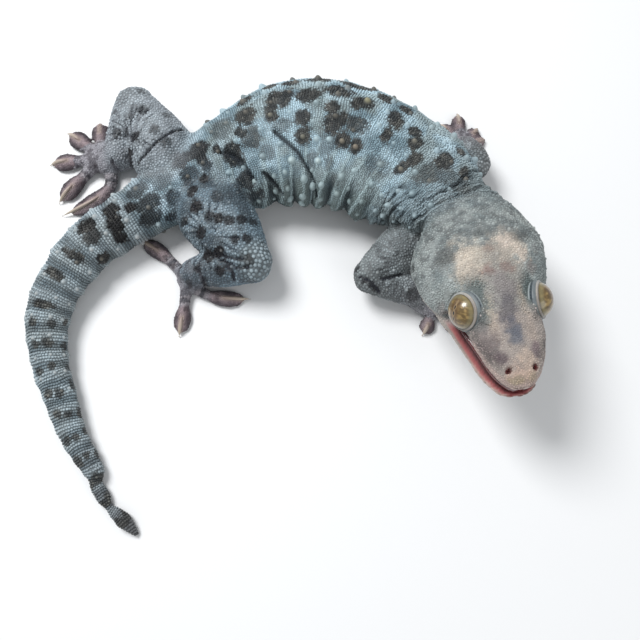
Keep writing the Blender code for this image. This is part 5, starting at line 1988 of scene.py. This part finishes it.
def small_knobs(hide, knobs, tops, rooms):
    """Adds the small tubercles of nape and limbs between those, and gives the places and rooms of all."""
    roots, normals = hide.scatter(SMALL_KNOBS)
    at = Places(roots)
    x, _, z = at.local.T
    nape = (at.head > 0.6) & (x < -6) & (x > HEAD_BACK) & (z > -9)
    nape &= ~in_eye(at.local) & (ear_share(at.local) > 1.8)
    limb = (at.limb > 0.6) & (normals[:, 2] > 0.1)
    fits = nape | limb
    roots, normals = roots[fits], normals[fits]
    at = Places(roots)
    room = mix_number(2.6, 3.6, at.limb)
    keep = thinned(roots, room, tops, rooms + 1.0)
    size = rng.uniform(*SMALL_SIZES, len(roots))
    ground = paint(at)
    colours = ground * 0.84 + 0.16 * KNOB_SMALL
    sizes = np.column_stack((size * 1.1, size * 1.1, size * 0.75))
    add_kept(knobs, keep, at, normals, sizes, ground, colours)
    return np.vstack((tops, roots[keep])), np.concatenate((rooms, size[keep] + 0.2))


# How far apart the lips' plates are, and for each lip how far its row is from the snout's lower edge and
# half how tall its plates are
LIP_STEP = 1.75
LIP_ROWS = ((0.75, 0.72), (-5.2, 0.7))


def lip_line():
    """Points along the edge of the lips from the left corner round the snout to the right one."""
    rows = smooth_rows(SNOUT, np.linspace(0.9, len(SNOUT) - 1, 200))
    left = np.column_stack((rows[:, 0], rows[:, 1], rows[:, 3]))
    tip = np.array(((24.6, 0.0, rows[-1, 3]),))
    return np.vstack((left, tip, left[::-1] * (1, -1, 1)))


# The colour that the lips' plates lean to
PLATE_PALE = tint(196, 180, 172)


def lip_scales(hide):
    """One row of plates along each lip. Gives their middles and the room each takes."""
    tops, rooms = [], []
    # Lip plates, painted with shade at their foot and a highlight at their top
    plates = Scales(PLATE, 0.86, 1.05)
    for rise, half_tall in LIP_ROWS:
        line = lip_line()
        line[:, 2] += rise
        run = running_length(line)
        steps = np.arange(LIP_STEP / 2, run[-1], LIP_STEP)
        middles = np.column_stack([np.interp(steps, run, column) for column in line.T])
        ways = unit(np.gradient(middles, axis=0))
        outward = unit(np.cross(ways, (0.0, 0.0, -1.0)))
        outward *= np.sign((outward * (middles - (6.0, 0.0, 0.0))).sum(axis=1, keepdims=True))
        turn = HEAD[:3, :3].T
        starts, aims = from_head(middles + outward * 4), -outward @ turn
        roots, normals, met = hide.cast(starts, aims, 9.0)
        roots, normals, ways = roots[met], normals[met], (ways @ turn)[met]
        at = Places(roots)
        colours = mix(paint(at), PLATE_PALE, np.full(len(roots), 0.5))
        colours *= rng.uniform(0.92, 1.06, (len(roots), 1))
        sizes = np.tile((LIP_STEP * 0.54, half_tall, 0.17), (len(roots), 1))
        plates.add(roots, normals, ways, sizes, colours, colours, unwrapped(at))
        tops.append(roots)
        rooms.append(np.full(len(roots), half_tall * 0.95))
    plates.pieces("lip_scales", "head_skin", KNOB_LOOKS.material)
    return np.vstack(tops), np.concatenate(rooms)


# The lid from the eyeball outwards: share of its width, and how far it stands out
LID_PROFILE = (
    (-0.08, 0.02), (0.0, 0.20), (0.04, 0.36), (0.10, 0.42), (0.16, 0.38), (0.22, 0.26),
    (0.30, 0.36), (0.46, 0.50), (0.60, 0.46), (0.70, 0.12), (0.78, 0.34), (0.88, 0.42),
    (0.98, 0.28), (1.06, 0.0), (1.12, -0.7),
)


# Colours of the lid: behind the eye, then in front of it, with painted shade in its groove
LID_LIP_BEHIND = tint(178, 186, 187)
LID_LIP_AHEAD = tint(162, 153, 145)
LID_LIP_LOW = tint(112, 108, 102)
LID_BAND_BEHIND = tint(168, 177, 177)
LID_BAND_AHEAD = tint(108, 116, 119)
LID_GROOVE_SHADE_BEHIND = tint(134, 141, 141)
LID_GROOVE_SHADE_AHEAD = tint(40, 54, 66)
LID_EDGE = tint(138, 147, 148)


def lid(side):
    """A ring of skin round the eye: a pale inner lip, a grey band, a groove darkened with painted shade and a
    pale edge.
    """
    around = 120
    centre, out, up, across = eye_axes(side)
    turn = circle(around)
    profile = resampled(LID_PROFILE, 46)
    radial = np.cos(turn)[:, None] * up + np.sin(turn)[:, None] * across
    wide = lid_width(radial, side)
    front = 0.5 + 0.5 * np.cos(round_eye(radial, side) - LID_FRONT)
    rings, colours = [], []
    for share, rise in profile:
        polar = EYE_EDGE + share * wide
        wave = 0.05 * np.sin(turn * 37) * float(ease(0.3, 0.45, share)) * float(ease(1.1, 0.8, share))
        reach = EYE_RADIUS + rise * (0.8 + 0.4 * front) + wave
        ring = centre + reach[:, None] * (np.cos(polar)[:, None] * out + np.sin(polar)[:, None] * radial)
        rings.append(ring)
        lip = mix(LID_LIP_BEHIND, LID_LIP_AHEAD, front)
        lip = mix(lip, LID_LIP_LOW, 0.5 + 0.5 * np.cos(round_eye(radial, side) - 2.6) ** 3)
        band = mix(LID_BAND_BEHIND, LID_BAND_AHEAD, ease(0.3, 0.65, front))
        # The groove, darkened with painted shade, most in front
        groove = mix(LID_GROOVE_SHADE_BEHIND, LID_GROOVE_SHADE_AHEAD, ease(0.4, 0.85, front))
        colour = mix(lip, band, float(ease(0.16, 0.26, share)))
        colour = mix(colour, groove, float(ease(0.5, 0.68, share)))
        colours.append(mix(colour, LID_EDGE, float(ease(0.72, 0.86, share))))
    rings = from_head(np.array(rings))
    here = np.arange(around)
    after = (here + 1) % around
    last = (len(rings) - 1) * around
    seam = np.column_stack((last + here, last + after, after, here))
    name = f"lid_{SIDES[side]}"
    faces = tube_faces(len(rings), around) + seam.tolist()
    mesh = mesh_of(name, place(rings.reshape(-1, 3)), faces)
    colours = np.vstack(colours)
    colours = colours * (0.85 + 0.3 * rough_noise(rings.reshape(-1, 3), 0.7, 71))[:, None]
    smooth(mesh)
    set_tint(mesh, colours)
    return add_piece(name, mesh, "head_skin", LID_LOOKS.material)


# The pupil: half width, half height and how far its top leans outwards
SLIT_HALF = 0.16
SLIT_REACH = 3.7
SLIT_LEAN = math.radians(32)


# Colours of the iris
IRIS_BROWN = tint(96, 77, 44)
IRIS_GOLD = tint(154, 129, 80)
IRIS_SHADE = tint(84, 60, 38)
SLIT_EDGE = tint(160, 136, 100)
IRIS_OUTER = tint(124, 116, 84)
IRIS_RIM_AND_SHADE = tint(58, 50, 32)


def eyeball(side):
    """A glossy ball with an upright slit, dark-edged and veined like a tokay's, with painted shade at its rim
    under the lid.
    """
    around, steps = 96, 64
    centre, out, up, across = eye_axes(side)
    polar = np.linspace(0.004, math.pi - 0.004, steps)
    turn = circle(around)[None, :, None]
    ring = np.sin(polar)[:, None, None] * (np.cos(turn) * up + np.sin(turn) * across)
    balls = np.cos(polar)[:, None, None] * out + ring
    points, faces = loft(from_head(centre + balls * EYE_RADIUS))
    local = (into_head(points) - centre) / EYE_RADIUS
    lean = SLIT_LEAN * side
    upright = up * math.cos(lean) + across * math.sin(lean)
    level = across * math.cos(lean) - up * math.sin(lean)
    height, aside, front = local @ upright * EYE_RADIUS, local @ level * EYE_RADIUS, local @ out
    half = SLIT_HALF * np.clip(1 - (height / SLIT_REACH) ** 2, 0, None) ** 0.6
    half += 0.13 * np.cos(height * 2 * math.pi / 1.7) * ease(SLIT_REACH, 2.6, np.abs(height))
    from_slit = np.abs(aside) - half + 2.0 * ease(SLIT_REACH - 0.3, SLIT_REACH + 0.2, np.abs(height))
    from_slit = np.where(front > 0.2, from_slit, 5.0)
    veins = rough_noise(local * 9, 1.1, 81)
    streaks = noise(np.column_stack((aside * 0.9, height * 2.6, np.zeros(len(local)))), 0.9, 82)
    colour = mix(IRIS_BROWN, IRIS_GOLD, ease(0.35, 0.7, 0.6 * veins + 0.4 * streaks))
    colour = mix(colour, IRIS_SHADE, ease(2.0, 0.5, from_slit) * 0.75)
    colour = mix(colour, SLIT_EDGE, ease(0.3, 0.12, from_slit) * 0.75)
    colour = mix(colour, IRIS_OUTER, ease(0.74, 0.6, front) * 0.7)
    # The eye's edge by the lid: its own dark rim with painted shade under the lid
    colour = mix(colour, IRIS_RIM_AND_SHADE, ease(0.54, 0.43, front) * 0.9)
    name = f"eyeball_{SIDES[side]}"
    mesh = mesh_of(name, place(points), faces)
    smooth(mesh)
    set_tint(mesh, colour)
    layer = mesh.attributes.new("Slit", "FLOAT", "POINT")
    layer.data.foreach_set("value", from_slit.astype(np.float32))
    return add_piece(name, mesh, "eye", EYE_LOOKS.material, f"eye_{SIDES[side]}")


def eye_looks():
    """The eye's material: black in the slit, under a clear coat."""
    looks = Looks("eye_looks", 0.3, 0.0, 0.25, 0.18)
    slit = looks.nodes.new("ShaderNodeAttribute")
    slit.attribute_name = "Slit"
    open_share = looks.nodes.new("ShaderNodeMapRange")
    looks.links.new(slit.outputs["Fac"], open_share.inputs["Value"])
    open_share.inputs["From Min"].default_value = -0.04
    open_share.inputs["From Max"].default_value = 0.04
    dark = looks.nodes.new("ShaderNodeMix")
    dark.data_type = "RGBA"
    dark.inputs["A"].default_value = (0.004, 0.003, 0.003, 1)
    looks.links.new(open_share.outputs["Result"], dark.inputs["Factor"])
    looks.links.new(looks.colour, dark.inputs["B"])
    looks.links.new(dark.outputs["Result"], looks.shader.inputs["Base Color"])
    looks.set(Coat_Weight=0.8, Coat_Roughness=0.1, Coat_IOR=1.4)
    return looks


# The claw: share of the toe's path, half width and height of its middle
CLAW_PROFILE = (
    (0.70, 0.2, 2.75), (0.76, 0.4, 2.9), (0.84, 0.48, 2.8), (0.93, 0.46, 2.45), (1.0, 0.36, 1.8),
    (1.05, 0.2, 1.15), (1.08, 0.05, 0.6),
)


# Colours of the claws
CLAW_ROOT = tint(138, 120, 116)
CLAW_TIP = tint(184, 172, 156)


def claws():
    """A small hooked claw on every toe but the first of each foot."""
    forms, lights = [], []
    for limb in LIMBS.values():
        for toe_row in limb["toes"][1:]:
            rows = resampled(CLAW_PROFILE, 11)
            points, _ = toe_path(limb["palm"], toe_row, rows[:, 0])
            points[:, 2] = rows[:, 2] * limb["toe_size"]
            forms.append(bone(np.column_stack((points, rows[:, 1] * 1.2 + COAT))))
            share = np.linspace(0, 1, len(forms[-1][0]))
            lights.append(mix(CLAW_ROOT, CLAW_TIP, ease(0.0, 0.8, share)))
    points, faces = joined(forms)
    mesh = mesh_of("claws", place(points), faces)
    smooth(mesh)
    set_tint(mesh, np.vstack(lights))
    return add_piece("claws", mesh, "toes", CLAW_LOOKS.material)


# The inside of the mouth: x, half width, top and bottom
LINING = (
    (-4.0, 12.6, -5.8, -6.6), (3, 11.4, -5.5, -7.3), (11, 8.9, -5.1, -8.1), (18, 6.6, -4.9, -8.4),
    (21.8, 4.0, -4.7, -8.5), (23.0, 2.2, -4.6, -8.4),
)


# Colours of the mouth's lining
LINING_RED = tint(104, 42, 43)
LINING_DARK = tint(66, 22, 26)


def mouth_inside():
    """The red lining that shows between the lips."""
    around = 40
    turn = 2 * math.pi * (np.arange(around) + 0.5) / around
    rings = []
    for x, half, top, bottom in resampled(LINING, 60):
        middle, rise = (top + bottom) / 2, (top - bottom) / 2
        u, v = rounded(np.cos(turn), 3.0), rounded(np.sin(turn), 2.6)
        rings.append(np.column_stack((np.full(around, x), u * (half - 0.5), middle + v * rise)))
    points, faces = loft(from_head(np.array(rings)))
    mesh = mesh_of("mouth_inside", place(points), faces)
    smooth(mesh)
    folds = rough_noise(points, 1.8, 91)
    set_tint(mesh, mix(LINING_RED, LINING_DARK, folds))
    return add_piece("mouth_inside", mesh, "mouth", MOUTH_LOOKS.material, "mouth_lining")


SKIN_LOOKS = Looks("skin_looks", 0.6, 0.5, 0.3)
SCALE_LOOKS = Looks("scale_looks", 0.48, 0.25, 0.16, 0.18)
KNOB_LOOKS = Looks("tubercle_looks", 0.58, 0.4, 0.25, 0.2)
LID_LOOKS = Looks("lid_looks", 0.42, 0.4, 0.22, 0.2)
CLAW_LOOKS = Looks("claw_looks", 0.36, 0.2, 0.3, 0.2)
MOUTH_LOOKS = Looks("mouth_looks", 0.22, 0.35, 0.5, 0.15)
EYE_LOOKS = eye_looks()
MOUTH_LOOKS.set(Coat_Weight=0.6, Coat_Roughness=0.1)
SCALE_LOOKS.set(Specular_IOR_Level=0.24)

FLESH = [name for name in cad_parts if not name.startswith(("eye", "mouth"))]

skin_mesh, skin_at = shaped_skin()
coat_parts(skin_mesh)
# The skin takes the scales' colours darkened by painted shade between them
set_tint(skin_mesh, paint(skin_at) * gap_shade(skin_at)[:, None])
set_points(skin_mesh, place(vertex_array(skin_mesh)))
skin_mesh.name = "hide"
add_piece("hide", skin_mesh, "skin", SKIN_LOOKS.material, *FLESH)
for side in SIDES:
    lid(side)
    eyeball(side)
claws()
mouth_inside()

# The floor, the light and the camera, in metres. The floor lies just under the flat soles and belly
FLOOR_HALF = 3.0
FLOOR_AT = -0.0002
floor_corners = [(x * FLOOR_HALF, y * FLOOR_HALF, 0) for x, y in ((-1, -1), (1, -1), (1, 1), (-1, 1))]
floor = add_object("floor", mesh_of("floor", floor_corners, [(0, 1, 2, 3)]))
floor_looks = bpy.data.materials.new("floor_looks")
floor_looks.use_nodes = True
floor_shader = floor_looks.node_tree.nodes["Principled BSDF"]
floor_shader.inputs["Base Color"].default_value = (0.82, 0.83, 0.84, 1)
floor_shader.inputs["Roughness"].default_value = 0.6
floor.data.materials.append(floor_looks)
floor.location.z = FLOOR_AT


def area_light(name, at, size, power):
    """A round light that points at the middle of the floor."""
    light = bpy.data.lights.new(name, "AREA")
    light.shape = "DISK"
    light.size = size
    light.energy = power
    lamp = add_object(name, light)
    lamp.location = at
    lamp.rotation_euler = (-Vector(at)).to_track_quat("-Z", "Y").to_euler()


area_light("key", (-0.32, 0.30, 0.62), 0.34, 5.6)
area_light("fill", (0.55, -0.45, 0.5), 0.6, 1.6)
world = bpy.data.worlds.new("studio")
world.use_nodes = True
sky = world.node_tree.nodes["Background"]
sky.inputs["Color"].default_value = (0.96, 0.98, 1.0, 1)
sky.inputs["Strength"].default_value = 0.43
bpy.context.scene.world = world
bpy.context.scene.view_settings.view_transform = "Standard"

# The photo's camera: place in plan millimetres, tilt and angle of view in degrees
CAMERA_AT = np.array((0.0, -46.78, 220.08))
CAMERA_TILT = 12.0
CAMERA_VIEW = 50.0
lens = bpy.data.cameras.new("camera")
lens.sensor_width = 36.0
lens.lens = lens.sensor_width / 2 / math.tan(math.radians(CAMERA_VIEW / 2))
lens.clip_start = 0.01
camera = add_object("camera", lens)
camera.location = place(CAMERA_AT)
camera.rotation_euler = (math.radians(CAMERA_TILT), 0, 0)
bpy.context.scene.camera = camera

bpy.context.view_layer.update()
